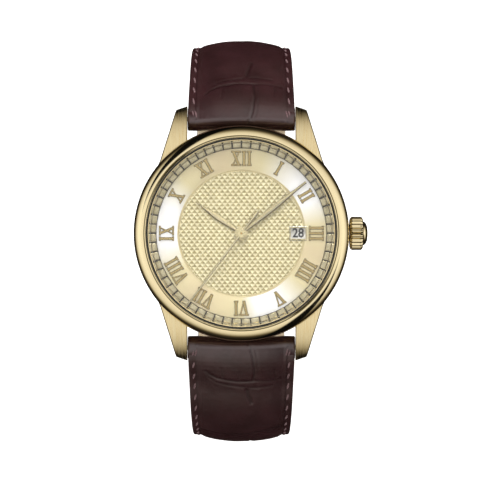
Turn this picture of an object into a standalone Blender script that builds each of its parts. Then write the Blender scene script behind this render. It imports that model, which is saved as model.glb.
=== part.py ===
"""A dress wristwatch with a quartz movement and an unfastened leather strap.

The dial faces +Z, 12 o'clock is +Y and the crown points along +X. The origin is on the table,
straight under the centre of the dial. All dimensions below are in millimetres.
"""

import math

import bmesh
import bpy
from mathutils import Matrix, Vector

MM = 0.001

# Driving dimensions of the head. Heights are measured from the outer face of the case back.
BAR_HEIGHT = 56.0  # spring bars above the table
BAR_OFFSET = 21.4  # spring bars from the centre of the dial
BAR_LEVEL = 2.2  # spring bars above the case back
BACK_Z = BAR_HEIGHT - BAR_LEVEL
BEZEL_R = 20.0
LUG_GAP = 20.24
STEM_LEVEL = 3.3
FIT = 0.05  # gap between pieces that touch

# Time shown: 10:08:36, as clockwise angles from 12 o'clock, in degrees.
SECONDS_ANGLE = 217.0
MINUTE_ANGLE = 51.6
HOUR_ANGLE = 304.3

# Gear train: distances between arbors follow from module times tooth counts.
CENTRE_TEETH, THIRD_TEETH, FOURTH_TEETH, FIFTH_TEETH = 48, 45, 30, 36
PINION_TEETH = 6
CANNON_TEETH, MINUTE_TEETH, HOUR_TEETH, DATE_TEETH = 10, 30, 24, 48
MOTION_MODULE = 0.1
MINUTE_REACH = MOTION_MODULE * (CANNON_TEETH + MINUTE_TEETH) / 2
HOUR_MODULE = 2 * MINUTE_REACH / (HOUR_TEETH + PINION_TEETH)
DATE_REACH = HOUR_MODULE * (HOUR_TEETH + DATE_TEETH) / 2
CENTRE_MODULE = HOUR_MODULE
THIRD_REACH = CENTRE_MODULE * (CENTRE_TEETH + PINION_TEETH) / 2
THIRD_MODULE = 2 * THIRD_REACH / (THIRD_TEETH + PINION_TEETH)
FIFTH_REACH = 3.72
FOURTH_MODULE = 2 * FIFTH_REACH / (FOURTH_TEETH + PINION_TEETH)
ROTOR_MODULE = 0.1
ROTOR_REACH = ROTOR_MODULE * (FIFTH_TEETH + PINION_TEETH) / 2


def polar(radius, degrees, centre=(0.0, 0.0)):
    """A point at this distance and direction from centre."""
    angle = math.radians(degrees)
    return (centre[0] + radius * math.cos(angle), centre[1] + radius * math.sin(angle))


THIRD_AT = polar(THIRD_REACH, 120)
FIFTH_AT = polar(FIFTH_REACH, -30)
ROTOR_AT = polar(ROTOR_REACH, -60, FIFTH_AT)
MINUTE_AT = polar(MINUTE_REACH, 60)
DATE_AT = polar(DATE_REACH, 225)
BATTERY_AT = (-6.5, -5.5)
SCREWS_AT = ((4.6, 1.6), (-3.6, -1.5))
LEVER_PIVOT = (9.0, 4.5)
LEVER_PIN = (8.2, 0.45)

# Strap: lengths run along the lining from the spring bar.
STRAP_12_LENGTH = 70.0
STRAP_6_LENGTH = 112.0
HALF_WIDTH_LUG, HALF_WIDTH_BUCKLE = 9.95, 9.0
ROLL_R = 1.9
LINING = 0.7
SADDLE = 0.42  # handle length of the strap's curve, as a share of the distance it spans

parts = bpy.data.collections.new("wristwatch")
cutters = bpy.data.collections.new("cutters")


def clear_scene():
    for obj in list(bpy.data.objects):
        bpy.data.objects.remove(obj, do_unlink=True)
    for collection in (parts, cutters):
        bpy.context.scene.collection.children.link(collection)


def material(name, colour, roughness, metallic):
    made = bpy.data.materials.new(name)
    made.use_nodes = True
    shader = made.node_tree.nodes["Principled BSDF"]
    shader.inputs["Base Color"].default_value = (*colour, 1.0)
    shader.inputs["Roughness"].default_value = roughness
    shader.inputs["Metallic"].default_value = metallic
    made.diffuse_color = (*colour, 1.0)
    return made


def palette():
    return {
        "gold_polished": material("gold_polished", (0.83, 0.66, 0.36), 0.12, 1.0),
        "gold_brushed": material("gold_brushed", (0.80, 0.66, 0.40), 0.32, 1.0),
        "champagne": material("champagne", (0.84, 0.76, 0.55), 0.35, 0.8),
        "steel": material("steel", (0.62, 0.61, 0.58), 0.28, 1.0),
        "brass": material("brass", (0.78, 0.60, 0.28), 0.30, 1.0),
        "glass": material("glass", (0.95, 0.97, 0.97), 0.02, 0.0),
        "black_rubber": material("black_rubber", (0.02, 0.02, 0.02), 0.6, 0.0),
        "white_nylon": material("white_nylon", (0.85, 0.85, 0.82), 0.5, 0.0),
        "copper": material("copper", (0.72, 0.33, 0.16), 0.35, 1.0),
        "circuit": material("circuit", (0.03, 0.18, 0.10), 0.5, 0.0),
        "date_white": material("date_white", (0.88, 0.88, 0.86), 0.5, 0.0),
        "leather": material("leather", (0.045, 0.014, 0.014), 0.38, 0.0),
        "lining": material("lining", (0.52, 0.36, 0.22), 0.7, 0.0),
    }


def add(name, mesh, colour=None, cutter=False):
    """Puts a mesh in the scene as a part, or as a hidden helper that cuts or joins."""
    obj = bpy.data.objects.new(name, mesh)
    (cutters if cutter else parts).objects.link(obj)
    if cutter:
        obj.hide_render = True
        obj.display_type = "WIRE"
    else:
        mesh.materials.append(colour)
        mesh.shade_smooth()
        mesh.set_sharp_from_angle(angle=math.radians(32))
    return obj


def mesh_of(name, shape):
    mesh = bpy.data.meshes.new(name)
    bmesh.ops.recalc_face_normals(shape, faces=shape.faces)
    shape.to_mesh(mesh)
    shape.free()
    return mesh


RIM_STEPS = 48


def turned(name, profile, centre=(0.0, 0.0), steps=RIM_STEPS, solid=False):
    """A lathe-turned mesh round +Z. The profile lists (radius, height) down the outer side.

    A ring's profile is closed. A solid's profile starts and ends on the axis.
    """
    shape = bmesh.new()
    points = [shape.verts.new((r * MM, 0.0, (BACK_Z + h) * MM)) for r, h in profile]
    edges = [shape.edges.new(pair) for pair in zip(points, points[1:])]
    if not solid:
        edges.append(shape.edges.new((points[-1], points[0])))
    bmesh.ops.spin(
        shape,
        geom=points + edges,
        cent=(0, 0, 0),
        axis=(0, 0, 1),
        angle=2 * math.pi,
        steps=steps,
        use_merge=True,
        use_duplicate=False,
    )
    bmesh.ops.remove_doubles(shape, verts=shape.verts, dist=1e-7)
    bmesh.ops.translate(shape, verts=shape.verts, vec=(centre[0] * MM, centre[1] * MM, 0))
    return mesh_of(name, shape)


def pipe(name, outer, inner, low, high, centre=(0.0, 0.0), steps=24):
    profile = [(outer, high), (outer, low), (inner, low), (inner, high)]
    return turned(name, profile, centre, steps)


def disc(name, radius, low, high, centre=(0.0, 0.0), steps=24):
    return turned(name, [(0, high), (radius, high), (radius, low), (0, low)], centre, steps, True)


def plate(name, outline, low, high):
    """A flat outline, as (x, y) points in order, between two heights of the head."""
    shape = bmesh.new()
    face = shape.faces.new([shape.verts.new((x * MM, y * MM, (BACK_Z + low) * MM)) for x, y in outline])
    up = bmesh.ops.extrude_face_region(shape, geom=[face])
    verts = [v for v in up["geom"] if isinstance(v, bmesh.types.BMVert)]
    bmesh.ops.translate(shape, verts=verts, vec=(0, 0, (high - low) * MM))
    return mesh_of(name, shape)


def box(name, low, high):
    """A box between two corners. Heights are measured from the case back."""
    shape = bmesh.new()
    size = [(b - a) * MM for a, b in zip(low, high)]
    middle = [(a + b) / 2 * MM for a, b in zip(low, high)]
    middle[2] += BACK_Z * MM
    bmesh.ops.create_cube(shape, size=1.0, matrix=Matrix.Translation(middle) @ Matrix.Diagonal((*size, 1.0)))
    return mesh_of(name, shape)


def rod(name, start, end, radius, steps=16):
    """A round rod between two world points, in millimetres above the table."""
    a, b = Vector(start) * MM, Vector(end) * MM
    shape = bmesh.new()
    turn = (b - a).to_track_quat("Z", "Y").to_matrix().to_4x4()
    bmesh.ops.create_cone(
        shape,
        cap_ends=True,
        segments=steps,
        radius1=radius * MM,
        radius2=radius * MM,
        depth=(b - a).length,
        matrix=Matrix.Translation((a + b) / 2) @ turn,
    )
    return mesh_of(name, shape)


def boolean(obj, mesh, operation):
    """Cuts, joins or intersects obj with a helper mesh."""
    helper = add(f"{obj.name}_{operation.lower()}_{len(obj.modifiers)}", mesh, cutter=True)
    modifier = obj.modifiers.new(helper.name, "BOOLEAN")
    modifier.object = helper
    modifier.operation = operation
    modifier.solver = "EXACT"
    return helper


def cut(obj, *meshes):
    for mesh in meshes:
        boolean(obj, mesh, "DIFFERENCE")


def join(obj, *meshes):
    for mesh in meshes:
        boolean(obj, mesh, "UNION")


def spin_points(outline, degrees, centre=(0.0, 0.0)):
    """The outline turned about the origin and then moved to centre."""
    angle = math.radians(degrees)
    c, s = math.cos(angle), math.sin(angle)
    return [(centre[0] + x * c - y * s, centre[1] + x * s + y * c) for x, y in outline]


# ---------------------------------------------------------------- case


def lug_mesh(name, side_x, side_y):
    """One lug: its plan outline cut to its side profile, which slopes down to the tip."""
    inner = LUG_GAP / 2
    plan = [
        (inner, 14.4),
        (inner, 23.85),
        (12.1, 23.1),
        (13.2, 19.2),
        (15.1, 13.6),
        (16.4, 10.6),
        (14.1, 10.8),
    ]
    profile = [
        (10.4, 5.9),
        (18.2, 5.8),
        (20.6, 5.1),
        (22.4, 3.9),
        (23.6, 2.3),
        (23.9, 1.1),
        (23.3, 0.35),
        (21.0, 0.3),
        (17.5, 0.95),
        (10.4, 1.4),
    ]
    shape = bmesh.new()
    base = [shape.verts.new((x * MM, y * MM, 0)) for x, y in plan]
    face = shape.faces.new(base)
    up = bmesh.ops.extrude_face_region(shape, geom=[face])
    raised = [v for v in up["geom"] if isinstance(v, bmesh.types.BMVert)]
    bmesh.ops.translate(shape, verts=raised, vec=(0, 0, 8 * MM))
    bmesh.ops.translate(shape, verts=shape.verts, vec=(0, 0, (BACK_Z - 1) * MM))
    lug = add(name, mesh_of(name, shape), cutter=True)
    side = bmesh.new()
    outline = [side.verts.new((9 * MM, y * MM, (BACK_Z + h) * MM)) for y, h in profile]
    wall = side.faces.new(outline)
    out = bmesh.ops.extrude_face_region(side, geom=[wall])
    far = [v for v in out["geom"] if isinstance(v, bmesh.types.BMVert)]
    bmesh.ops.translate(side, verts=far, vec=(8 * MM, 0, 0))
    boolean(lug, mesh_of(name + "_side", side), "INTERSECT")
    graph = bpy.context.evaluated_depsgraph_get()
    whole = bpy.data.meshes.new_from_object(lug.evaluated_get(graph))
    lug.modifiers.clear()
    shape = bmesh.new()
    shape.from_mesh(whole)
    bmesh.ops.scale(shape, verts=shape.verts, vec=(side_x, side_y, 1))
    return mesh_of(f"{name}_placed", shape)


def case_middle(mat):
    profile = [
        (18.2, 7.2),
        (18.2, 5.95),
        (19.45, 5.95),
        (19.6, 5.3),
        (19.5, 3.0),
        (19.1, 1.5),
        (18.5, 0.7),
        (17.25, 0.7),
        (17.25, 5.15),
        (16.9, 5.15),
        (16.9, 6.3),
        (17.72, 6.3),
        (17.72, 7.2),
    ]
    case = add("case_middle", turned("case_middle", profile), mat["gold_brushed"])
    for side_x in (1, -1):
        for side_y in (1, -1):
            join(case, lug_mesh(f"lug_{side_x}_{side_y}", side_x, side_y))
    for side in (1, -1):
        near, far = sorted((side * 18.75, side * 26))
        half = LUG_GAP / 2
        cut(case, box("strap_recess", (-half, near, -2), (half, far, 5.94)))
        bar = (side * BAR_OFFSET, BAR_HEIGHT)
        cut(case, rod("bar_hole", (-11.5, *bar), (11.5, *bar), 0.5, 12))
    level = BACK_Z + STEM_LEVEL
    cut(case, rod("tube_hole", (15, 0, level), (21, 0, level), 1.1, 20))
    cut(case, pipe("crown_seat", 30, 19.35, STEM_LEVEL - 3.3, STEM_LEVEL + 2.6, (0, 0), RIM_STEPS))
    return case


def crown_flat(case):
    """Limits the crown's seat cut to the crown's own width."""
    seat = case.modifiers[-1].object
    window = add("crown_window", box("crown_window", (15, -3.5, -1), (26, 3.5, 7)), cutter=True)
    modifier = seat.modifiers.new("window", "BOOLEAN")
    modifier.object = window
    modifier.operation = "INTERSECT"


def case_rings(mat):
    bezel = [
        (18.1, 8.4),
        (18.85, 8.55),
        (19.5, 8.25),
        (19.9, 7.5),
        (BEZEL_R, 6.8),
        (19.6, 6.0),
        (18.25, 6.0),
        (18.25, 7.25),
        (17.75, 7.25),
        (17.75, 8.1),
    ]
    add("bezel", turned("bezel", bezel), mat["gold_polished"])
    crystal = [(0, 8.7), (9, 8.56), (16.9, 8.12), (17.35, 7.8), (17.35, 6.36), (0, 6.36)]
    add("crystal", turned("crystal", crystal, solid=True), mat["glass"])
    add("crystal_gasket", pipe("crystal_gasket", 17.68, 17.4, 6.36, 7.85, steps=RIM_STEPS), mat["white_nylon"])
    chapter = [(16.85, 5.75), (16.85, 5.2), (15.75, 5.2), (15.75, 5.45)]
    add("chapter_ring", turned("chapter_ring", chapter), mat["champagne"])


def case_back(mat):
    profile = [
        (0, 1.42),
        (16.6, 1.42),
        (16.6, 0.65),
        (18.0, 0.65),
        (18.05, 0.45),
        (17.5, 0.0),
        (0, 0.0),
    ]
    back = add("case_back", turned("case_back", profile, solid=True), mat["steel"])
    cut(back, box("opening_notch", (-1.6, -19, 0.35), (1.6, -17.2, 0.7)))
    add("case_back_gasket", pipe("case_back_gasket", 17.2, 16.66, 0.72, 1.35, steps=RIM_STEPS), mat["black_rubber"])
    holder = add("movement_holder", pipe("movement_holder", 17.15, 12.95, 1.55, 4.65, steps=36), mat["white_nylon"])
    level = BACK_Z + STEM_LEVEL
    cut(holder, rod("stem_hole", (12, 0, level), (18, 0, level), 0.75, 14))


def along_x(shape, start):
    """Turns a shape made round +Z so that it lies along +X on the stem's axis."""
    turn = Matrix.Rotation(math.radians(90), 4, "Y")
    place = Matrix.Translation((start * MM, 0, (BACK_Z + STEM_LEVEL) * MM))
    bmesh.ops.transform(shape, matrix=place @ turn, verts=shape.verts)


def lathe_x(name, profile, start, steps, solid=True, ripple=None):
    """A turned shape along +X. The profile is (radius, distance from start)."""
    shape = bmesh.new()
    points = [shape.verts.new((r * MM, 0, d * MM)) for r, d in profile]
    edges = [shape.edges.new(pair) for pair in zip(points, points[1:])]
    if not solid:
        edges.append(shape.edges.new((points[-1], points[0])))
    bmesh.ops.spin(
        shape,
        geom=points + edges,
        cent=(0, 0, 0),
        axis=(0, 0, 1),
        angle=2 * math.pi,
        steps=steps,
        use_merge=True,
        use_duplicate=False,
    )
    bmesh.ops.remove_doubles(shape, verts=shape.verts, dist=1e-7)
    for vert in shape.verts if ripple else ():
        ripple(vert)
    along_x(shape, start)
    return mesh_of(name, shape)


CROWN_START = 20.2
CROWN_R = 3.12
CROWN_FLUTES = 24


def flute(vert):
    """Draws every other rib of the crown's grip inwards."""
    radius = math.hypot(vert.co.x, vert.co.y) / MM
    if radius < CROWN_R - 0.01:
        return
    step = math.atan2(vert.co.y, vert.co.x) / (2 * math.pi) * 2 * CROWN_FLUTES
    if round(step) % 2:
        vert.co.x *= (CROWN_R - 0.3) / CROWN_R
        vert.co.y *= (CROWN_R - 0.3) / CROWN_R


def crown_set(mat):
    tube = [(1.06, 5.25), (1.06, 0.0), (0.6, 0.0), (0.6, 5.25)]
    add("crown_tube", lathe_x("crown_tube", tube, 17.3, 20, False), mat["steel"])
    crown = [
        (0, 3.4),
        (1.3, 3.32),
        (2.1, 3.02),
        (2.4, 2.6),
        (2.75, 2.55),
        (CROWN_R, 2.3),
        (CROWN_R, 0.3),
        (2.75, 0.0),
        (1.65, 0.0),
        (1.65, 2.5),
        (0, 2.5),
    ]
    add(
        "crown",
        lathe_x("crown", crown, CROWN_START, 2 * CROWN_FLUTES, ripple=flute),
        mat["gold_polished"],
    )
    seal = [(1.6, 0.5), (1.6, 0.0), (1.12, 0.0), (1.12, 0.5)]
    gasket = lathe_x("crown_gasket", seal, CROWN_START + 0.15, 20, False)
    add("crown_gasket", gasket, mat["black_rubber"])
    groove = (0.55, 1.05)
    stem = [(0, 15.25), (0.42, 15.25), (0.42, groove[1]), (0.18, groove[1])]
    stem += [(0.18, groove[0]), (0.42, groove[0]), (0.42, 0), (0, 0)]
    add("winding_stem", lathe_x("winding_stem", stem, 7.4, 12), mat["steel"])


# ---------------------------------------------------------------- dial and hands


def dial_parts(mat):
    dial = add("dial", disc("dial", 17.1, 4.7, 5.1, steps=RIM_STEPS), mat["champagne"])
    cut(dial, disc("dial_centre_hole", 0.95, 4, 6, steps=16))
    cut(dial, box("date_window", (9.1, -1.0, 4), (11.9, 1.0, 6)))
    frame = add("date_window_frame", box("date_window_frame", (8.87, -1.3, 5.13), (12.13, 1.3, 5.35)), mat["steel"])
    cut(frame, box("frame_opening", (9.1, -1.0, 5), (11.9, 1.0, 6)))


STROKE_IN, STROKE_OUT = 12.65, 15.3
STROKE_THICK, STROKE_THIN = 0.52, 0.3
ADVANCE = {"I": 0.9, "V": 1.7, "X": 1.7}
NUMERALS = ("XII", "I", "II", "III", "IIII", "V", "VI", "VII", "VIII", "IX", "X", "XI")


def stroke(foot, head, width):
    """A stroke between two places across a numeral, in its own (across, outward) plane.

    A thin stroke is a little shorter than a thick one.
    """
    half = width / 2
    short = 0.1 * (STROKE_THICK - width)
    return [
        (foot - half, STROKE_IN + short),
        (foot + half, STROKE_IN + short),
        (head + half, STROKE_OUT - short),
        (head - half, STROKE_OUT - short),
    ]


def numeral_strokes(text):
    """The strokes of a Roman numeral, centred on its hour."""
    left = -sum(ADVANCE[letter] for letter in text) / 2
    strokes = []
    for letter in text:
        right = left + ADVANCE[letter]
        if letter == "I":
            strokes.append(stroke((left + right) / 2, (left + right) / 2, STROKE_THICK))
        elif letter == "V":
            strokes.append(stroke((left + right) / 2, left + 0.4, STROKE_THICK))
            strokes.append(stroke((left + right) / 2, right - 0.3, STROKE_THIN))
        else:
            strokes.append(stroke(right - 0.4, left + 0.4, STROKE_THICK))
            strokes.append(stroke(left + 0.3, right - 0.3, STROKE_THIN))
        left = right
    return strokes


def numeral_ring(mat):
    """The satin outer ring of the dial, with the twelve raised numerals that are part of it."""
    ring = add("numeral_ring", pipe("numeral_ring", 15.7, 11.75, 5.13, 5.25), mat["champagne"])
    cut(ring, box("date_notch", (11.0, -1.32, 5), (12.18, 1.32, 6)))
    for hour, text in enumerate(NUMERALS):
        for number, outline in enumerate(numeral_strokes(text)):
            low, high = 5.2 - 0.01 * number, 5.5 - 0.01 * number
            join(ring, plate(f"numeral_{text}", spin_points(outline, -30 * hour), low, high))


def hand(name, outline, clockwise, low, high, hub, hole, colour):
    """A flat hand pointing at its clock angle, with a round hub and the hole that grips its post."""
    blade = add(name, plate(name, spin_points(outline, -clockwise), low, high), colour)
    join(blade, disc(name + "_hub", hub, low - 0.01, high + 0.02, steps=16))
    cut(blade, disc(name + "_hole", hole, low - 1, high + 1, steps=12))


def mirrored(half):
    """A symmetric outline from the points of its right side, listed from the tail to the tip."""
    return [(x, y) for x, y in half] + [(-x, y) for x, y in reversed(half) if x > 0]


def hands(mat):
    gold = mat["gold_polished"]
    hour = [(0.3, 0.3), (0.5, 2.6), (0.72, 4.6), (0.62, 6.2), (0.3, 8.2), (0.06, 10.2)]
    minute = [(0.28, 0.3), (0.42, 3.0), (0.62, 6.2), (0.55, 8.6), (0.25, 12.0), (0.2, 15.3)]
    second = [(0.22, -5.5), (0.34, -4.3), (0.14, -3.0), (0.1, 0), (0.07, 16.75)]
    hand("hour_hand", mirrored(hour), HOUR_ANGLE, 5.42, 5.58, 1.25, 0.77, gold)
    hand("minute_hand", mirrored(minute), MINUTE_ANGLE, 5.76, 5.9, 1.0, 0.46, gold)
    hand("seconds_hand", mirrored(second), SECONDS_ANGLE, 6.06, 6.18, 0.8, 0.22, gold)


# ---------------------------------------------------------------- movement


def gear(name, teeth, module, low, high, centre=(0.0, 0.0), phase=0.0):
    """A toothed plate. Each tooth is a ridge with one point at the tip and one at the root."""
    pitch = module * teeth / 2
    outline = []
    for tooth in range(teeth):
        angle = phase + 360 * tooth / teeth
        outline.append(polar(pitch + 0.75 * module, angle, centre))
        outline.append(polar(pitch - 1.05 * module, angle + 180 / teeth, centre))
    return plate(name, outline, low, high)


def mesh_phase(teeth, towards, other_teeth, other_phase):
    """The phase that puts a gap of this gear on a tooth of the other, along the line of centres.

    towards is the direction from the other gear's centre to this one's.
    """
    turned_by = (towards - other_phase) / (360 / other_teeth) % 1
    return towards + 180 - (0.5 - turned_by) * 360 / teeth


def train(mat):
    """The running train: rotor, fifth, fourth (seconds), third and centre wheels."""
    brass, steel = mat["brass"], mat["steel"]
    shaft = (0.15, 1.8, 3.9)

    centre = add("centre_wheel", gear("centre_wheel", CENTRE_TEETH, CENTRE_MODULE, 3.15, 3.3), brass)
    cut(centre, disc("centre_bore", 0.45, 3, 4, steps=12))

    third = add("third_wheel", gear("third_wheel", THIRD_TEETH, THIRD_MODULE, 2.9, 3.05, THIRD_AT), brass)
    phase = mesh_phase(PINION_TEETH, 120, CENTRE_TEETH, 0)
    join(third, gear("third_pinion", PINION_TEETH, CENTRE_MODULE, 3.0, 3.34, THIRD_AT, phase))
    join(third, disc("third_arbor", *shaft, THIRD_AT, 8))

    fourth = add("fourth_wheel", gear("fourth_wheel", FOURTH_TEETH, FOURTH_MODULE, 2.45, 2.6), brass)
    phase = mesh_phase(PINION_TEETH, -60, THIRD_TEETH, 0)
    join(fourth, gear("fourth_pinion", PINION_TEETH, THIRD_MODULE, 2.55, 3.08, (0, 0), phase))
    join(fourth, disc("seconds_arbor", 0.19, 1.8, 6.15, steps=12))

    fifth = add("fifth_wheel", gear("fifth_wheel", FIFTH_TEETH, ROTOR_MODULE, 2.66, 2.8, FIFTH_AT), brass)
    phase = mesh_phase(PINION_TEETH, -30, FOURTH_TEETH, 0)
    join(fifth, gear("fifth_pinion", PINION_TEETH, FOURTH_MODULE, 2.42, 2.7, FIFTH_AT, phase))
    join(fifth, disc("fifth_arbor", *shaft, FIFTH_AT, 8))

    rotor = add("rotor", disc("rotor", 0.85, 2.2, 2.38, ROTOR_AT, 16), steel)
    phase = mesh_phase(PINION_TEETH, -60, FIFTH_TEETH, 0)
    join(rotor, gear("rotor_pinion", PINION_TEETH, ROTOR_MODULE, 2.6, 2.84, ROTOR_AT, phase))
    join(rotor, disc("rotor_arbor", *shaft, ROTOR_AT, 8))


def motion_work(mat):
    """The gears under the dial that carry the minute and hour hands and drive the date."""
    brass, steel = mat["brass"], mat["steel"]
    cannon = add("cannon_pinion", gear("cannon_pinion", CANNON_TEETH, MOTION_MODULE, 4.13, 4.28), steel)
    join(cannon, disc("cannon_pipe", 0.42, 3.12, 5.92, steps=16))
    cut(cannon, disc("cannon_bore", 0.27, 3, 7, steps=12))

    phase = mesh_phase(MINUTE_TEETH, 60, CANNON_TEETH, 0)
    wheel = gear("minute_wheel", MINUTE_TEETH, MOTION_MODULE, 4.13, 4.28, MINUTE_AT, phase)
    minute = add("minute_wheel", wheel, brass)
    join(minute, gear("minute_pinion", PINION_TEETH, HOUR_MODULE, 4.2, 4.48, MINUTE_AT))
    join(minute, disc("minute_post", 0.18, 3.5, 4.2, MINUTE_AT, 8))

    phase = mesh_phase(HOUR_TEETH, 240, PINION_TEETH, 0)
    hour = add("hour_wheel", gear("hour_wheel", HOUR_TEETH, HOUR_MODULE, 4.32, 4.47, (0, 0), phase), brass)
    join(hour, disc("hour_pipe", 0.72, 4.4, 5.56, steps=16))
    cut(hour, disc("hour_bore", 0.47, 4, 7, steps=14))

    phase = mesh_phase(DATE_TEETH, 225, HOUR_TEETH, phase)
    wheel = gear("date_driving_wheel", DATE_TEETH, HOUR_MODULE, 4.32, 4.47, DATE_AT, phase)
    date = add("date_driving_wheel", wheel, brass)
    join(date, disc("date_hub", 0.6, 4.14, 4.36, DATE_AT, 12))
    finger = [(0.0, -0.22), (3.7, -0.12), (3.7, 0.12), (0.0, 0.22)]
    join(date, plate("date_finger", spin_points(finger, 45, DATE_AT), 4.15, 4.23))
    join(date, disc("date_post", 0.2, 3.5, 4.2, DATE_AT, 8))


DATE_COUNT = 31


def date_works(mat):
    outline = [polar(12.3, 360 * k / 62) for k in range(62)]
    ring = add("date_ring", plate("date_ring", outline, 4.18, 4.44), mat["date_white"])
    teeth = []
    for tooth in range(DATE_COUNT):
        teeth.append(polar(8.32, 360 * tooth / DATE_COUNT))
        teeth.append(polar(8.9, 360 * (tooth + 0.5) / DATE_COUNT))
    cut(ring, plate("date_teeth", teeth, 4, 5))
    add("date_ring_cover", pipe("date_ring_cover", 8.85, 1.5, 4.5, 4.6, steps=32), mat["steel"])
    arm = [(-2.6, 6.7), (1.9, 7.3), (1.75, 8.05), (1.35, 8.05), (1.3, 7.75), (-2.7, 7.1)]
    add("date_jumper", plate("date_jumper", spin_points(arm, 30), 4.13, 4.4), mat["steel"])


def plates(mat):
    main = add("main_plate", disc("main_plate", 12.8, 3.4, 4.08, steps=36), mat["brass"])
    cut(main, disc("plate_centre", 0.5, 3, 5, steps=12))
    cut(main, disc("plate_battery", 3.5, 3, 5, BATTERY_AT, 24))
    cut(main, box("stem_slot", (6.9, -0.62, 3), (14, 0.62, 3.86)))
    for pivot in (THIRD_AT, FIFTH_AT, ROTOR_AT):
        cut(main, disc("pivot", 0.2, 3, 3.95, pivot, 8))
    for post in (MINUTE_AT, DATE_AT):
        cut(main, disc("post", 0.25, 3.45, 5, post, 8))
    cut(main, disc("lever_hole", 0.36, 3, 3.9, LEVER_PIVOT, 8))
    for screw in SCREWS_AT:
        cut(main, disc("screw_hole", 0.36, 3, 3.95, screw, 8))

    bridge = add("train_bridge", disc("train_bridge", 5.9, 1.77, 2.12, (1.5, -0.5), 32), mat["steel"])
    for pivot in ((0, 0), THIRD_AT, FIFTH_AT, ROTOR_AT):
        cut(bridge, disc("jewel_hole", 0.26 if pivot == (0, 0) else 0.2, 1, 3, pivot, 8))
    for index, screw in enumerate(SCREWS_AT):
        cut(bridge, disc("bridge_hole", 0.36, 1, 3, screw, 8))
        profile = [(0, 3.85), (0.3, 3.85), (0.3, 1.72), (0.62, 1.72), (0.62, 1.48), (0, 1.48)]
        name = f"bridge_screw_{index + 1}"
        fastener = add(name, turned(name, profile, screw, 10, True), mat["steel"])
        x, y = screw
        cut(fastener, box("driver_slot", (x - 1, y - 0.1, 1.3), (x + 1, y + 0.1, 1.58)))


def electric(mat):
    """The battery, circuit, quartz, coil and stator that step the rotor."""
    x, y = BATTERY_AT
    profile = [(0, 4.05), (2.7, 4.05), (2.9, 3.85), (3.4, 3.7), (3.4, 1.75), (3.3, 1.65), (0, 1.65)]
    add("battery", turned("battery", profile, BATTERY_AT, 24, True), mat["steel"])
    clip = add("battery_clip", box("battery_clip", (-10.6, y - 0.6, 1.5), (-3.0, y + 0.6, 1.6)), mat["brass"])
    join(clip, box("clip_leg", (-10.6, y - 0.6, 1.55), (-10.4, y + 0.6, 3.35)))

    segment = [polar(12.2, a) for a in range(30, 151, 10)]
    add("circuit_board", plate("circuit_board", segment, 1.9, 2.1), mat["circuit"])
    middle = BACK_Z + 2.75
    can = rod("quartz_can", (-7.0, 8.2, middle), (-1.2, 8.2, middle), 0.6, 14)
    add("quartz_can", can, mat["steel"])

    wire = BACK_Z + 2.62
    coil = add("coil", rod("coil", (-1.2, -8.3, wire), (7.2, -8.3, wire), 0.72, 18), mat["copper"])
    join(coil, box("coil_core", (-2.8, -8.85, 2.43), (8.8, -7.75, 2.7)))
    stator = add("stator", box("stator", (-2.8, -4.7, 2.2), (8.8, -2.66, 2.38)), mat["steel"])
    for low, high in ((-2.8, -1.7), (7.7, 8.8)):
        join(stator, box("stator_leg", (low, -8.85, 2.19), (high, -4.6, 2.39)))
    join(stator, disc("stator_pole", 1.5, 2.18, 2.4, ROTOR_AT, 20))
    cut(stator, disc("stator_hole", 1.05, 2, 3, ROTOR_AT, 16))


def setting_lever(mat):
    """The lever whose pin sits in the stem's groove and swings as the crown is pulled."""
    arm = [(-0.45, 0.5), (-0.3, -4.2), (0.3, -4.2), (0.45, 0.5)]
    lean = math.degrees(math.atan2(LEVER_PIN[0] - LEVER_PIVOT[0], LEVER_PIVOT[1] - LEVER_PIN[1]))
    lever = add(
        "setting_lever",
        plate("setting_lever", spin_points(arm, lean, LEVER_PIVOT), 2.5, 2.7),
        mat["steel"],
    )
    join(lever, disc("lever_pin", 0.16, 2.6, 3.3, LEVER_PIN, 8))
    join(lever, disc("lever_post", 0.3, 2.6, 3.85, LEVER_PIVOT, 8))


# ---------------------------------------------------------------- strap


def bezier(start, pull, push, end, count):
    points = []
    for step in range(count + 1):
        t = step / count
        points.append(
            start * (1 - t) ** 3 + pull * 3 * t * (1 - t) ** 2 + push * 3 * t * t * (1 - t) + end * t**3
        )
    return points


def heading(degrees):
    return Vector((math.cos(math.radians(degrees)), math.sin(math.radians(degrees))))


class StrapPath:
    """The line of a strap half's lining, seen from the side: (outward from the dial's centre, height)."""

    def __init__(self, side, length, horizon, fold, fold_heading):
        """fold is where the curve meets the straight run to the end."""
        self.side, self.length = side, length
        first = heading(-15)
        start = Vector((BAR_OFFSET, BAR_HEIGHT)) - Vector((-first.y, first.x)) * ROLL_R
        down = Vector((0, -1))
        upper = (horizon - start).length * SADDLE
        lower = (fold - horizon).length * SADDLE
        last = heading(fold_heading)
        line = bezier(start, start + first * upper, horizon - down * upper, horizon, 40)
        line += bezier(horizon, horizon + down * lower, fold - last * lower, fold, 40)[1:]
        self.curved = sum((b - a).length for a, b in zip(line, line[1:]))
        line.append(fold + last * length)
        self.line = line

    def at(self, distance):
        """(point, direction, outward normal) at this distance along the lining."""
        left = distance
        for a, b in zip(self.line, self.line[1:]):
            span = (b - a).length
            if left <= span:
                break
            left -= span
        along = (b - a).normalized()
        return a + along * left, along, Vector((-along.y, along.x))

    def world(self, distance, across, out):
        """A world point in millimetres: across is along +X, out is away from the wrist."""
        point, _, normal = self.at(distance)
        flat = point + normal * out
        return Vector((across, self.side * flat.x, flat.y))


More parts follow.
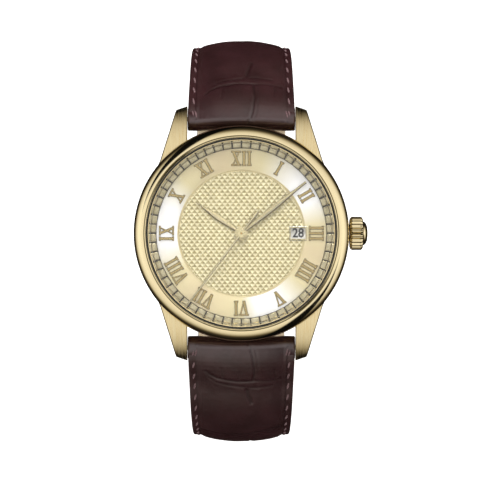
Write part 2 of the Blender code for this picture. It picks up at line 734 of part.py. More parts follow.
TAIL_START, TAIL_THICKNESS = 17.0, 2.2
STRAP_12 = StrapPath(1, STRAP_12_LENGTH, Vector((33.4, 36.0)), Vector((14.0, 11.0)), -190)
STRAP_6 = StrapPath(-1, STRAP_6_LENGTH, Vector((36.6, 34.0)), Vector((TAIL_START, TAIL_THICKNESS)), -180)


def ramp(value, low, high):
    t = min(1.0, max(0.0, (value - low) / (high - low)))
    return t * t * (3 - 2 * t)


def half_width(distance):
    return HALF_WIDTH_LUG + (HALF_WIDTH_BUCKLE - HALF_WIDTH_LUG) * min(1.0, distance / STRAP_12_LENGTH)


def edge_thickness(distance):
    return TAIL_THICKNESS + 1.2 * (1 - ramp(distance, 0, 8)) + 0.4 * (1 - ramp(distance, 8, 45))


def pad_rise(distance):
    return 1.35 * ramp(distance, 1, 9) * (1 - ramp(distance, 22, 56))


def loft(name, sections):
    """A closed solid through rings of world points, with a flat cap at each end."""
    shape = bmesh.new()
    rings = [[shape.verts.new(p * MM) for p in section] for section in sections]
    for a, b in zip(rings, rings[1:]):
        for k in range(len(a)):
            n = (k + 1) % len(a)
            shape.faces.new((a[k], a[n], b[n], b[k]))
    shape.faces.new(rings[0][::-1])
    shape.faces.new(rings[-1])
    bmesh.ops.triangulate(shape, faces=[face for face in shape.faces if len(face.verts) == 4])
    return mesh_of(name, shape)


def tip_factor(distance, length, pointed):
    """How much of its width the strap keeps near its end."""
    if not pointed or distance < length - 9:
        return 1.0
    t = (distance - (length - 9)) / 9
    return max(0.3, math.sqrt(max(0.0, 1 - t**2.4)))


def stations(start, path, pointed):
    """Where the strap's cross-sections stand, from the spring bar to the end."""
    count = round((path.curved - start) / 3)
    bend = [start + k * (path.curved - start) / count for k in range(count + 1)]
    ends = [path.length - 9 * (1 - math.sin(math.radians(a))) for a in (0, 30, 50, 68, 90)]
    return bend + (ends if pointed else [path.length])


def leather(name, path, pointed, mat):
    """The padded upper: a flat stitched edge each side and a raised middle."""
    sections = []
    for s in stations(0, path, pointed):
        half = half_width(s) * tip_factor(s, path.length, pointed)
        low, edge = LINING + FIT, edge_thickness(s)
        top = edge + pad_rise(s)
        flange, slope = min(1.4, half * 0.3), min(2.8, half * 0.6)
        ring = [
            (-half, low),
            (-half, edge),
            (flange - half, edge),
            (slope - half, top),
            (half - slope, top),
            (half - flange, edge),
            (half, edge),
            (half, low),
        ]
        sections.append([path.world(s, w, n) for w, n in ring])
    upper = add(name, loft(name, sections), mat["leather"])
    bar = (path.side * BAR_OFFSET, BAR_HEIGHT)
    half = HALF_WIDTH_LUG
    join(upper, rod("roll", (-half, *bar), (half, *bar), ROLL_R, 16))
    cut(upper, rod("roll_bore", (-half - 1, *bar), (half + 1, *bar), 0.85, 12))
    return upper


def lining(name, path, pointed, mat):
    sections = []
    for s in stations(2.6, path, pointed):
        half = (half_width(s) - 0.1) * tip_factor(s, path.length, pointed)
        ring = [(-half, 0), (-half, LINING), (half, LINING), (half, 0)]
        sections.append([path.world(s, w, n) for w, n in ring])
    return add(name, loft(name, sections), mat["lining"])


HOLE_PITCH, HOLE_COUNT = 6.5, 7


def strap_6(mat):
    upper = leather("strap_6_leather", STRAP_6, True, mat)
    under = lining("strap_6_lining", STRAP_6, True, mat)
    under_dial = STRAP_6.curved + TAIL_START
    for k in range(HOLE_COUNT):
        s = under_dial + (1.5 - HOLE_COUNT + k) * HOLE_PITCH
        for piece in (upper, under):
            start, end = STRAP_6.world(s, 0, -3), STRAP_6.world(s, 0, 6)
            cut(piece, rod("tail_hole", start, end, 0.9, 8))


def strap_12(mat):
    """The buckle half: its end wraps the buckle bar and is slotted for the tongue."""
    upper = leather("strap_12_leather", STRAP_12, False, mat)
    under = lining("strap_12_lining", STRAP_12, False, mat)
    s = STRAP_12_LENGTH
    bar = STRAP_12.world(s, 0, BUCKLE_OUT)
    half = HALF_WIDTH_BUCKLE
    side = Vector((half, 0, 0))
    join(upper, rod("buckle_roll", bar - side, bar + side, 1.35, 14))
    wide = side * 1.2
    for piece in (upper, under):
        cut(piece, rod("buckle_roll_bore", bar - wide, bar + wide, 0.7, 12))
        slot = [(-1.4, -2), (-1.4, 6), (1.4, 6), (1.4, -2)]
        ends = [[STRAP_12.world(d, w, n) for w, n in slot] for d in (s - 4.5, s + 4)]
        cut(piece, loft("tongue_slot", ends))
    cut(under, rod("lining_relief", bar - wide, bar + wide, 1.42, 14))


BUCKLE_OUT = 1.1
FRAME_LENGTH = 8.6
ARM_IN, ARM_OUT = 9.25, 10.7


def buckle_matrix():
    """Buckle frame of reference: X across, Y on past the strap's end, Z away from the wrist."""
    point = STRAP_12.world(STRAP_12_LENGTH, 0, BUCKLE_OUT)
    _, along, normal = STRAP_12.at(STRAP_12_LENGTH)
    rows = [(1, 0, 0), (0, along.x, normal.x), (0, along.y, normal.y)]
    turn = Matrix(rows).to_4x4()
    return Matrix.Translation(point * MM) @ turn


def in_buckle(mesh):
    mesh.transform(buckle_matrix())
    return mesh


def local_prism(name, outline, low, high, axis):
    """A prism in the buckle's frame: axis 2 extrudes an (X, Y) outline, axis 0 a (Y, Z) outline."""
    shape = bmesh.new()
    if axis == 2:
        points = [(x * MM, y * MM, low * MM) for x, y in outline]
        step = (0, 0, (high - low) * MM)
    else:
        points = [(low * MM, y * MM, z * MM) for y, z in outline]
        step = ((high - low) * MM, 0, 0)
    face = shape.faces.new([shape.verts.new(p) for p in points])
    up = bmesh.ops.extrude_face_region(shape, geom=[face])
    verts = [v for v in up["geom"] if isinstance(v, bmesh.types.BMVert)]
    bmesh.ops.translate(shape, verts=verts, vec=step)
    return in_buckle(mesh_of(name, shape))


def rounded_rectangle(left, right, low, high, radius, count=5):
    outline = []
    corners = (
        (right - radius, high - radius, 0),
        (left + radius, high - radius, 90),
        (left + radius, low + radius, 180),
        (right - radius, low + radius, 270),
    )
    for x, y, start in corners:
        outline += [polar(radius, start + 90 * k / (count - 1), (x, y)) for k in range(count)]
    return outline


def circle(radius, count, centre=(0.0, 0.0)):
    return [polar(radius, 360 * k / count, centre) for k in range(count)]


def buckle(mat):
    gold = mat["gold_polished"]
    outer = rounded_rectangle(-ARM_OUT, ARM_OUT, -1.25, FRAME_LENGTH, 2.4)
    frame = add("buckle_frame", local_prism("buckle_frame", outer, -0.75, 0.85, 2), gold)
    inner = rounded_rectangle(-ARM_IN, ARM_IN, -6, FRAME_LENGTH - 1.7, 1.2)
    cut(frame, local_prism("frame_opening", inner, -3, 3, 2))
    cut(frame, local_prism("frame_bore", circle(0.52, 14), -12, 12, 0))
    add("buckle_bar", local_prism("buckle_bar", circle(0.48, 14), -10.6, 10.6, 0), mat["steel"])
    arm = [(0.0, 0.1), (0.55, 0.95), (2.5, 1.0), (8.7, 0.95), (9.1, 1.15), (9.1, 1.5), (8.8, 1.7), (2.4, 1.7), (0, 1.1)]
    tongue = add("buckle_tongue", local_prism("buckle_tongue", arm, -0.85, 0.85, 0), gold)
    join(tongue, local_prism("tongue_eye", circle(1.12, 16), -1.1, 1.1, 0))
    cut(tongue, local_prism("tongue_bore", circle(0.54, 14), -2, 2, 0))


FIXED_KEEPER_AT, FREE_KEEPER_AT = 65.2, 58.9
KEEPER_WIDTH = 4.6


def keeper(name, middle, mat):
    """A leather loop round the strap, with room for the tail over it."""
    half = half_width(middle)
    edge = edge_thickness(middle)
    outer = rounded_rectangle(-half - 1.15, half + 1.15, -1.25, edge + 3.75, 1.0, 3)
    inner = rounded_rectangle(-half - 0.35, half + 0.35, -0.5, edge + 2.95, 0.5, 2)
    point = STRAP_12.world(middle, 0, 0)
    _, along, normal = STRAP_12.at(middle)
    turn = Matrix([(1, 0, 0), (0, normal.x, along.x), (0, normal.y, along.y)]).to_4x4()
    place = Matrix.Translation(point * MM) @ turn
    meshes = []
    for outline, reach in ((outer, KEEPER_WIDTH / 2), (inner, KEEPER_WIDTH)):
        shape = bmesh.new()
        face = shape.faces.new([shape.verts.new((x * MM, n * MM, -reach * MM)) for x, n in outline])
        up = bmesh.ops.extrude_face_region(shape, geom=[face])
        verts = [v for v in up["geom"] if isinstance(v, bmesh.types.BMVert)]
        bmesh.ops.translate(shape, verts=verts, vec=(0, 0, 2 * reach * MM))
        bmesh.ops.transform(shape, matrix=place, verts=shape.verts)
        meshes.append(mesh_of(name, shape))
    loop = add(name, meshes[0], mat["leather"])
    cut(loop, meshes[1])


def spring_bar(name, side, mat):
    """A sprung bar: a hollow body and a sliding pin at each end that enters the lug."""
    y, z = side * BAR_OFFSET, BAR_HEIGHT
    body = add(name + "_body", rod(name, (-8.5, y, z), (8.5, y, z), 0.75, 14), mat["steel"])
    cut(body, rod("bar_bore", (-12, y, z), (12, y, z), 0.5, 12))
    for label, way in (("9_side", -1), ("3_side", 1)):
        pin_name = f"{name}_pin_{label}"
        pin = add(pin_name, rod(pin_name, (way * 6.2, y, z), (way * 10.9, y, z), 0.42, 12), mat["steel"])
        join(pin, rod("pin_flange", (way * 9.5, y, z), (way * 9.75, y, z), 0.75, 12))


def build():
    clear_scene()
    mat = palette()
    case = case_middle(mat)
    crown_flat(case)
    case_rings(mat)
    case_back(mat)
    crown_set(mat)
    dial_parts(mat)
    numeral_ring(mat)
    hands(mat)
    train(mat)
    motion_work(mat)
    date_works(mat)
    plates(mat)
    electric(mat)
    setting_lever(mat)
    strap_12(mat)
    strap_6(mat)
    buckle(mat)
    keeper("fixed_keeper", FIXED_KEEPER_AT, mat)
    keeper("free_keeper", FREE_KEEPER_AT, mat)
    spring_bar("spring_bar_12", 1, mat)
    spring_bar("spring_bar_6", -1, mat)


build()
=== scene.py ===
import math

import bmesh
import bpy
from mathutils import Matrix, Vector, noise


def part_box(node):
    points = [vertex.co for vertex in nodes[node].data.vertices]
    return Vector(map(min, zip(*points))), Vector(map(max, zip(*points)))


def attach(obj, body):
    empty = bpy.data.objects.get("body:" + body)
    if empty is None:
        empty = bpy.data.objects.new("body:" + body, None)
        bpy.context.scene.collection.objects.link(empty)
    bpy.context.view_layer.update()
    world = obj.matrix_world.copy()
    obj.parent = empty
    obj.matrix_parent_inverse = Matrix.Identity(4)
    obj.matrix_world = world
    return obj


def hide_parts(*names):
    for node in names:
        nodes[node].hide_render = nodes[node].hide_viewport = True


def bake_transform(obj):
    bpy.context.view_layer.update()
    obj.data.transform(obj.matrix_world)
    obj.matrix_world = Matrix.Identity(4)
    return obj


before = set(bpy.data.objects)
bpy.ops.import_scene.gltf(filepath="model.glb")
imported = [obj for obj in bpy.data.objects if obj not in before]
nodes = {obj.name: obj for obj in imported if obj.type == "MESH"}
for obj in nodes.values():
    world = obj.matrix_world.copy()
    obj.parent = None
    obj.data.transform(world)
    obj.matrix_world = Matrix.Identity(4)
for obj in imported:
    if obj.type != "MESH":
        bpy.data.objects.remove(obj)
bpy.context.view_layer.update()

mm = 0.001

# ------------------------------------------------------------------ studio
# A white table under a soft white ceiling, in a room that is dark at the height of the table,
# so that polished gold has shadows. Two black cloths hung in arcs, part of the room's light,
# draw the long dark streaks that a jeweller's set puts on a polished ring.
bezel_low, bezel_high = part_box("bezel")
girdle = bezel_low[2] + 0.8 * mm
camera_height, view_width = 450 * mm, 89.05 * mm
camera = bpy.data.cameras.new("camera")
camera.sensor_width = 36.0
camera.lens = camera.sensor_width * camera_height / view_width
camera.clip_start, camera.clip_end = 0.01, 10.0
camera_object = bpy.data.objects.new("camera", camera)
camera_object.location = (-0.26 * mm, -1.24 * mm, girdle + camera_height)
bpy.context.scene.collection.objects.link(camera_object)
bpy.context.scene.camera = camera_object
bpy.context.scene.view_settings.view_transform = "Standard"
bpy.context.scene.view_settings.look = "None"


def linear(colour):
    """An sRGB hex colour as linear red, green, blue and 1."""
    parts = [int(colour[k : k + 2], 16) / 255 for k in (1, 3, 5)]
    return (*(p / 12.92 if p <= 0.04045 else ((p + 0.055) / 1.055) ** 2.4 for p in parts), 1.0)


def add_node(tree, kind, inputs=(), **settings):
    """Adds a node. inputs gives each socket a value or another node's output to link."""
    made = tree.nodes.new(kind)
    for key, value in settings.items():
        setattr(made, key, value)
    for key, value in dict(inputs).items():
        if isinstance(value, bpy.types.NodeSocket):
            tree.links.new(value, made.inputs[key])
        else:
            made.inputs[key].default_value = value
    return made


def fill_ramp(ramp_node, stops):
    """Sets a colour ramp's stops from (position, colour) pairs."""
    elements = ramp_node.color_ramp.elements
    while len(elements) < len(stops):
        elements.new(0.5)
    for element, (position, colour) in zip(elements, stops):
        element.position, element.color = position, colour


def new_material(name, colour, metallic, roughness):
    """A material with a Principled shader, and its tree and shader."""
    made = bpy.data.materials.new(name)
    made.use_nodes = True
    shader = made.node_tree.nodes["Principled BSDF"]
    shader.inputs["Base Color"].default_value = linear(colour)
    shader.inputs["Metallic"].default_value = metallic
    shader.inputs["Roughness"].default_value = roughness
    return made, made.node_tree, shader


def place(bm, name, material):
    """Turns a bmesh into an object at the origin."""
    mesh = bpy.data.meshes.new(name)
    bm.to_mesh(mesh)
    bm.free()
    mesh.materials.append(material)
    mesh.shade_smooth()
    piece = bpy.data.objects.new(name, mesh)
    bpy.context.scene.collection.objects.link(piece)
    return piece


table_material, tree, shader = new_material("table_white_laminate", "#f4f4f4", 0.0, 0.6)
shader.inputs["Emission Color"].default_value = linear("#ffffff")
shader.inputs["Emission Strength"].default_value = 0.9
bm = bmesh.new()
bmesh.ops.create_circle(bm, cap_ends=True, segments=64, radius=3.0)
bmesh.ops.translate(bm, verts=bm.verts, vec=(0, 0, -0.02 * mm))
table = place(bm, "table_top", table_material)
table.visible_glossy = False

world = bpy.data.worlds.new("studio")
bpy.context.scene.world = world
world.use_nodes = True
tree = world.node_tree
tree.nodes.clear()
where = add_node(tree, "ShaderNodeTexCoord")
toward = where.outputs["Generated"]
part = add_node(tree, "ShaderNodeSeparateXYZ", {"Vector": toward})
# The walls to the left and right are lighter than those at the ends of the strap.
sideways = add_node(tree, "ShaderNodeMath", {0: part.outputs["X"], 1: part.outputs["X"]}, operation="MULTIPLY")
height = add_node(
    tree, "ShaderNodeMath", {0: sideways.outputs[0], 1: 0.75, 2: part.outputs["Z"]}, operation="MULTIPLY_ADD"
)
from_below = add_node(
    tree,
    "ShaderNodeMapRange",
    {"Value": height.outputs[0], "From Min": -1.0, "From Max": 2.0, "To Min": 0.0, "To Max": 1.0},
)
sky = add_node(tree, "ShaderNodeValToRGB", {"Fac": from_below.outputs[0]})
fill_ramp(
    sky,
    [
        (0.3, (0.015, 0.012, 0.009, 1)),
        (0.43, (0.05, 0.042, 0.03, 1)),
        (0.49, (0.17, 0.15, 0.11, 1)),
        (0.55, (0.5, 0.46, 0.38, 1)),
        (0.61, (0.92, 0.89, 0.83, 1)),
        (0.66, (1.14, 1.12, 1.08, 1)),
        (0.71, (1.5, 1.49, 1.45, 1)),
    ],
)


def black_flag(start, top, half_width):
    """A mask, 1 on a black cloth hung in an arc from one direction, at the table, up to another."""
    start, top = Vector(start).normalized(), Vector(top).normalized()
    beside = add_node(
        tree, "ShaderNodeVectorMath", {0: toward, 1: start.cross(top)}, operation="DOT_PRODUCT"
    )
    off = add_node(tree, "ShaderNodeMath", {0: beside.outputs["Value"]}, operation="ABSOLUTE")
    edge = add_node(
        tree,
        "ShaderNodeMapRange",
        {"Value": off.outputs[0], "From Min": half_width, "From Max": half_width + 0.05, "To Min": 1.0, "To Max": 0.0},
    )
    ahead = add_node(tree, "ShaderNodeVectorMath", {0: toward, 1: start}, operation="DOT_PRODUCT")
    hung = add_node(
        tree, "ShaderNodeMapRange", {"Value": ahead.outputs["Value"], "From Min": 0.28, "From Max": 0.42}
    )
    return add_node(tree, "ShaderNodeMath", {0: edge.outputs[0], 1: hung.outputs[0]}, operation="MULTIPLY")


def direction(azimuth, elevation):
    """A unit vector from degrees round from the crown and degrees up from the table."""
    flat = math.cos(math.radians(elevation))
    azimuth = math.radians(azimuth)
    return (flat * math.cos(azimuth), flat * math.sin(azimuth), math.sin(math.radians(elevation)))


left_flag = black_flag(direction(108, 0), direction(198, 68), 0.2)
right_flag = black_flag(direction(293, 0), direction(23, 72), 0.17)
flags = add_node(
    tree, "ShaderNodeMath", {0: left_flag.outputs[0], 1: right_flag.outputs[0]}, operation="MAXIMUM"
)
flagged = add_node(
    tree,
    "ShaderNodeMix",
    {0: flags.outputs[0], 6: sky.outputs["Color"], 7: (0.004, 0.004, 0.004, 1)},
    data_type="RGBA",
)
seen = add_node(tree, "ShaderNodeLightPath")
room = add_node(tree, "ShaderNodeBackground", {"Color": flagged.outputs[2], "Strength": 0.85})
white = add_node(tree, "ShaderNodeBackground", {"Color": (1, 1, 1, 1), "Strength": 1.1})
both = add_node(
    tree,
    "ShaderNodeMixShader",
    {0: seen.outputs["Is Camera Ray"], 1: room.outputs[0], 2: white.outputs[0]},
)
add_node(tree, "ShaderNodeOutputWorld", {"Surface": both.outputs[0]})

lamps = (
    ("window_above", (0.0, 1.0, 0.62), 0.4, 9.0),
)
aim = Vector((0, 0, girdle))
for name, spot, size, power in lamps:
    lamp = bpy.data.lights.new(name, "AREA")
    lamp.shape, lamp.size, lamp.energy = "DISK", size, power
    lamp_object = bpy.data.objects.new(name, lamp)
    lamp_object.location = spot
    lamp_object.rotation_euler = (aim - Vector(spot)).to_track_quat("-Z", "Y").to_euler()
    lamp_object.visible_glossy = False
    bpy.context.scene.collection.objects.link(lamp_object)

# ------------------------------------------------------------------ case
# The middle of the case and its four lugs, stamped and milled from one piece of stainless
# steel, coated gold, and brushed along the lugs. Its edges are eased so that they catch light.
gold_brushed, tree, shader = new_material("gold_coated_steel_brushed", "#f0d79c", 1.0, 0.3)
spot = add_node(tree, "ShaderNodeTexCoord")
lines = add_node(tree, "ShaderNodeMapping", {"Vector": spot.outputs["Object"], "Scale": (9000, 240, 240)})
# Brush marks are about 0.1 mm apart and some millimetres long, along the lugs.
scratch = add_node(tree, "ShaderNodeTexNoise", {"Vector": lines.outputs[0], "Scale": 1.0, "Detail": 2.0})
# On the upright sides they run level.
level_lines = add_node(
    tree, "ShaderNodeMapping", {"Vector": spot.outputs["Object"], "Scale": (240, 240, 9000)}
)
level_scratch = add_node(
    tree, "ShaderNodeTexNoise", {"Vector": level_lines.outputs[0], "Scale": 1.0, "Detail": 2.0}
)
facing = add_node(tree, "ShaderNodeSeparateXYZ", {"Vector": spot.outputs["Normal"]})
steep = add_node(tree, "ShaderNodeMath", {0: facing.outputs["Z"]}, operation="ABSOLUTE")
upward = add_node(tree, "ShaderNodeMapRange", {"Value": steep.outputs[0], "From Min": 0.3, "From Max": 0.45})
brushing = add_node(
    tree,
    "ShaderNodeMix",
    {0: upward.outputs[0], 2: level_scratch.outputs["Fac"], 3: scratch.outputs["Fac"]},
)
spread = add_node(
    tree,
    "ShaderNodeMapRange",
    {"Value": brushing.outputs[0], "From Min": 0.3, "From Max": 0.7, "To Min": 0.22, "To Max": 0.42},
)
tree.links.new(spread.outputs[0], shader.inputs["Roughness"])
tint = add_node(tree, "ShaderNodeValToRGB", {"Fac": brushing.outputs[0]})
fill_ramp(tint, [(0.3, linear("#dfc896")), (0.7, linear("#f8e8bc"))])
tree.links.new(tint.outputs["Color"], shader.inputs["Base Color"])
groove = add_node(
    tree, "ShaderNodeBump", {"Height": brushing.outputs[0], "Strength": 0.25, "Distance": 0.02 * mm}
)
tree.links.new(groove.outputs[0], shader.inputs["Normal"])


def dress(names, material, ease=0.0, segments=2):
    """Gives CAD nodes their finish. ease rounds their sharp edges, in millimetres."""
    for name in names:
        piece = nodes[name]
        piece.data.materials.clear()
        piece.data.materials.append(material)
        if ease:
            weld = piece.modifiers.new("weld", "WELD")
            weld.merge_threshold = 0.002 * mm
            bevel = piece.modifiers.new("ease", "BEVEL")
            bevel.width, bevel.segments = ease * mm, segments
            bevel.limit_method, bevel.angle_limit = "ANGLE", math.radians(28)
            bevel.harden_normals = False


back_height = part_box("case_back")[0][2]


def turned(profile, steps, closed=True):
    """Spins (radius, height over the case back) pairs, in millimetres, round the dial's axis."""
    bm = bmesh.new()
    points = [bm.verts.new((r * mm, 0, back_height + h * mm)) for r, h in profile]
    edges = [bm.edges.new(pair) for pair in zip(points, points[1:])]
    if closed:
        edges.append(bm.edges.new((points[-1], points[0])))
    bmesh.ops.spin(
        bm,
        geom=points + edges,
        cent=(0, 0, 0),
        axis=(0, 0, 1),
        angle=2 * math.pi,
        steps=steps,
        use_merge=True,
        use_duplicate=False,
    )
    bmesh.ops.remove_doubles(bm, verts=bm.verts, dist=1e-7)
    bmesh.ops.recalc_face_normals(bm, faces=bm.faces)
    return bm


def arc(centre, radius, first, last, count):
    """(radius, height) pairs along an arc, by degrees from level outwards, counter-clockwise."""
    steps = (first + (last - first) * k / (count - 1) for k in range(count))
    return [
        (centre[0] + radius[0] * math.cos(math.radians(a)), centre[1] + radius[1] * math.sin(math.radians(a)))
        for a in steps
    ]



# The collar holds the glass and the bezel, and the wall flares to a rounded belly under it.
case_profile = [(18.2, 7.2), (18.2, 5.95), (19.3, 5.95), (19.48, 5.85), (19.6, 5.3), (19.6, 4.2), (19.5, 3.0)]
case_profile += [(19.35, 2.1), (19.1, 1.4), (18.8, 0.9), (18.4, 0.7), (17.25, 0.7), (17.25, 5.15), (16.9, 5.15)]
case_profile += [(16.9, 6.3), (17.72, 6.3), (17.72, 7.2)]
case = turned(case_profile, 224)
# One lug, from the wall to its tip: inner and outer edges as (across, along) points.
lug_inner = [Vector(p) for p in ((14.1, 10.8), (10.14, 14.4), (10.14, 19.3), (10.14, 23.85))]
lug_outer = [Vector(p) for p in ((16.4, 10.6), (15.1, 13.6), (13.35, 19.2), (12.2, 23.1))]
lug_rows, lug_across = 42, 9


def between(points, share):
    """A point along evenly shared corner points."""
    place_in = min(len(points) - 1.000001, share * (len(points) - 1))
    first = int(place_in)
    return points[first].lerp(points[first + 1], place_in - first)


def lug_section(share):
    """The outline of a lug at one share of its length, as (across, along, height) in millimetres."""
    inner, outer = between(lug_inner, share), between(lug_outer, share)
    lean = max(0.0, share - 0.955) / 0.045

    def top(along):
        drop = min(1.0, max(0.0, (along - 14.6) / 9.5))
        return 5.9 - 4.4 * (1 - math.sqrt(1 - drop**2.6)) - 0.75 * lean

    def bottom(along):
        return 1.4 - 0.45 * ease_in(along, 10.4, 17.5) - 0.6 * ease_in(along, 17.5, 21) + 0.12 * lean

    def ease_in(value, low, high):
        return min(1.0, max(0.0, (value - low) / (high - low)))

    points = []
    for k in range(lug_across + 1):
        at = inner.lerp(outer, k / lug_across)
        rim_drop = 0.1 if k == 0 else 0.26 if k == lug_across else 0.0
        if k == 1:
            at = inner + (outer - inner).normalized() * 0.1
        if k == lug_across - 1:
            at = outer - (outer - inner).normalized() * 0.2
        points.append((at.x, at.y, top(at.y) - rim_drop))
    for at, lift in ((outer, 0.14), (outer.lerp(inner, 0.08), 0.0), (inner.lerp(outer, 0.08), 0.0), (inner, 0.14)):
        points.append((at.x, at.y, bottom(at.y) + lift))
    return points


for sign_x in (1, -1):
    for sign_y in (1, -1):
        lug = bmesh.new()
        around = lug_across + 5
        bmesh.ops.create_grid(lug, x_segments=around, y_segments=lug_rows, size=0.5)
        for vert in lug.verts:
            column, row = round((vert.co.x + 0.5) * around), round((vert.co.y + 0.5) * lug_rows)
            x, y, h = lug_section(row / lug_rows)[column % around]
            vert.co = (sign_x * x * mm, sign_y * y * mm, back_height + h * mm)
        bmesh.ops.remove_doubles(lug, verts=lug.verts, dist=1e-7)
        bmesh.ops.holes_fill(lug, edges=[edge for edge in lug.edges if edge.is_boundary], sides=0)
        bmesh.ops.recalc_face_normals(lug, faces=lug.faces)
        flat = bpy.data.meshes.new("lug")
        lug.to_mesh(flat)
        lug.free()
        case.from_mesh(flat)
        bpy.data.meshes.remove(flat)
case = place(case, "case_brushed", gold_brushed)
case.data.set_sharp_from_angle(angle=math.radians(32))
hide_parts("case_middle")
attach(case, "head")

# ------------------------------------------------------------------ bezel
# The rounded ring over the dial's edge, turned from steel, coated gold and polished to a
# mirror. It is pressed over the collar of the case and holds the glass.
gold_polished, tree, shader = new_material("gold_coated_steel_polished", "#f2e1b6", 1.0, 0.07)
spot = add_node(tree, "ShaderNodeTexCoord")
# Handling leaves a faint unevenness in the polish, a few millimetres across.
haze = add_node(
    tree, "ShaderNodeTexNoise", {"Vector": spot.outputs["Object"], "Scale": 300.0, "Detail": 3.0}
)
spread = add_node(
    tree,
    "ShaderNodeMapRange",
    {"Value": haze.outputs["Fac"], "From Min": 0.3, "From Max": 0.7, "To Min": 0.06, "To Max": 0.12},
)
tree.links.new(spread.outputs[0], shader.inputs["Roughness"])
bezel_profile = [(17.75, 7.3), (17.75, 8.0), (17.8, 8.08), (17.94, 8.12), (17.97, 8.02), (18.05, 8.02), (18.08, 8.3)]
bezel_profile += arc((18.1, 6.75), (1.9, 1.75), 89, -14, 26) + [(19.6, 6.02), (18.3, 6.02), (18.3, 7.3)]
groove_painted_shade, tree, shader = new_material("gold_coated_steel_groove_painted_shade", "#8f8055", 0.8, 0.5)
spot = add_node(tree, "ShaderNodeTexCoord")
patch = add_node(tree, "ShaderNodeTexNoise", {"Vector": spot.outputs["Object"], "Scale": 2500.0})
tint = add_node(tree, "ShaderNodeValToRGB", {"Fac": patch.outputs["Fac"]})
fill_ramp(tint, [(0.3, linear("#85764a")), (0.7, linear("#a39464"))])
tree.links.new(tint.outputs["Color"], shader.inputs["Base Color"])
bm = turned(bezel_profile, 256)
# A narrow groove divides the inner lip from the ring; its faces get a darker, rougher gold: painted shade.
for face in bm.faces:
    middle = face.calc_center_median()
    if 17.95 * mm < math.hypot(middle.x, middle.y) < 18.08 * mm and middle.z > back_height + 7.9 * mm:
        face.material_index = 1
bezel = place(bm, "bezel_polished", gold_polished)
bezel.data.materials.append(groove_painted_shade)
bezel.data.set_sharp_from_angle(angle=math.radians(40))
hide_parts("bezel")
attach(bezel, "head")

# ------------------------------------------------------------------ crystal
# A slightly domed disc of clear mineral glass with a ground bevel, pressed into a nylon
# gasket. Lamp light passes straight through it, so that the dial under it is lit.
crystal_glass, tree, shader = new_material("mineral_glass_polished", "#ffffff", 0.0, 0.0)
shader.inputs["Transmission Weight"].default_value = 1.0
shader.inputs["IOR"].default_value = 1.5
shader.inputs["Specular IOR Level"].default_value = 0.2
paths = add_node(tree, "ShaderNodeLightPath")
clear = add_node(tree, "ShaderNodeBsdfTransparent")
glass = add_node(
    tree,
    "ShaderNodeMixShader",
    {0: paths.outputs["Is Shadow Ray"], 1: shader.outputs[0], 2: clear.outputs[0]},
)
tree.links.new(glass.outputs[0], tree.nodes["Material Output"].inputs["Surface"])
crystal_profile = [(17.34, 6.4)] + [(17.34, 7.86), (16.9, 8.14)]
crystal_profile += [(r, 8.7 - 0.56 * (r / 16.9) ** 2) for r in (14.5, 12, 9, 6, 3)] + [(0, 8.7)]
bm = turned([(0, 6.4)] + crystal_profile, 160, closed=False)
crystal = place(bm, "crystal_domed", crystal_glass)
crystal.data.set_sharp_from_angle(angle=math.radians(25))
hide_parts("crystal")
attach(crystal, "head")

nylon, tree, shader = new_material("nylon_moulded", "#d9d4c6", 0.0, 0.45)
spot = add_node(tree, "ShaderNodeTexCoord")
flow = add_node(tree, "ShaderNodeTexNoise", {"Vector": spot.outputs["Object"], "Scale": 1500.0})
mark = add_node(tree, "ShaderNodeBump", {"Height": flow.outputs["Fac"], "Strength": 0.1, "Distance": 0.02 * mm})
tree.links.new(mark.outputs[0], shader.inputs["Normal"])
dress(["movement_holder"], nylon)
nylon_dark, tree, shader = new_material("nylon_moulded_black", "#1b1a14", 0.0, 0.35)
spot = add_node(tree, "ShaderNodeTexCoord")
flow = add_node(tree, "ShaderNodeTexNoise", {"Vector": spot.outputs["Object"], "Scale": 1500.0})
mark = add_node(tree, "ShaderNodeBump", {"Height": flow.outputs["Fac"], "Strength": 0.1, "Distance": 0.02 * mm})
tree.links.new(mark.outputs[0], shader.inputs["Normal"])
dress(["crystal_gasket"], nylon_dark)

# ------------------------------------------------------------------ minute ring
# A ring round the dial's edge, moulded and gilt, with sixty cushion-shaped blocks. The dark
# gaps between them are the minute marks.
ring_dark, tree, shader = new_material("brass_oxidised_dark", "#3b3422", 0.6, 0.45)
spot = add_node(tree, "ShaderNodeTexCoord")
grain = add_node(tree, "ShaderNodeTexNoise", {"Vector": spot.outputs["Object"], "Scale": 4000.0})
tint = add_node(tree, "ShaderNodeValToRGB", {"Fac": grain.outputs["Fac"]})
fill_ramp(tint, [(0.3, linear("#2c2617")), (0.7, linear("#4a422c"))])
tree.links.new(tint.outputs["Color"], shader.inputs["Base Color"])
dress(["chapter_ring"], ring_dark)

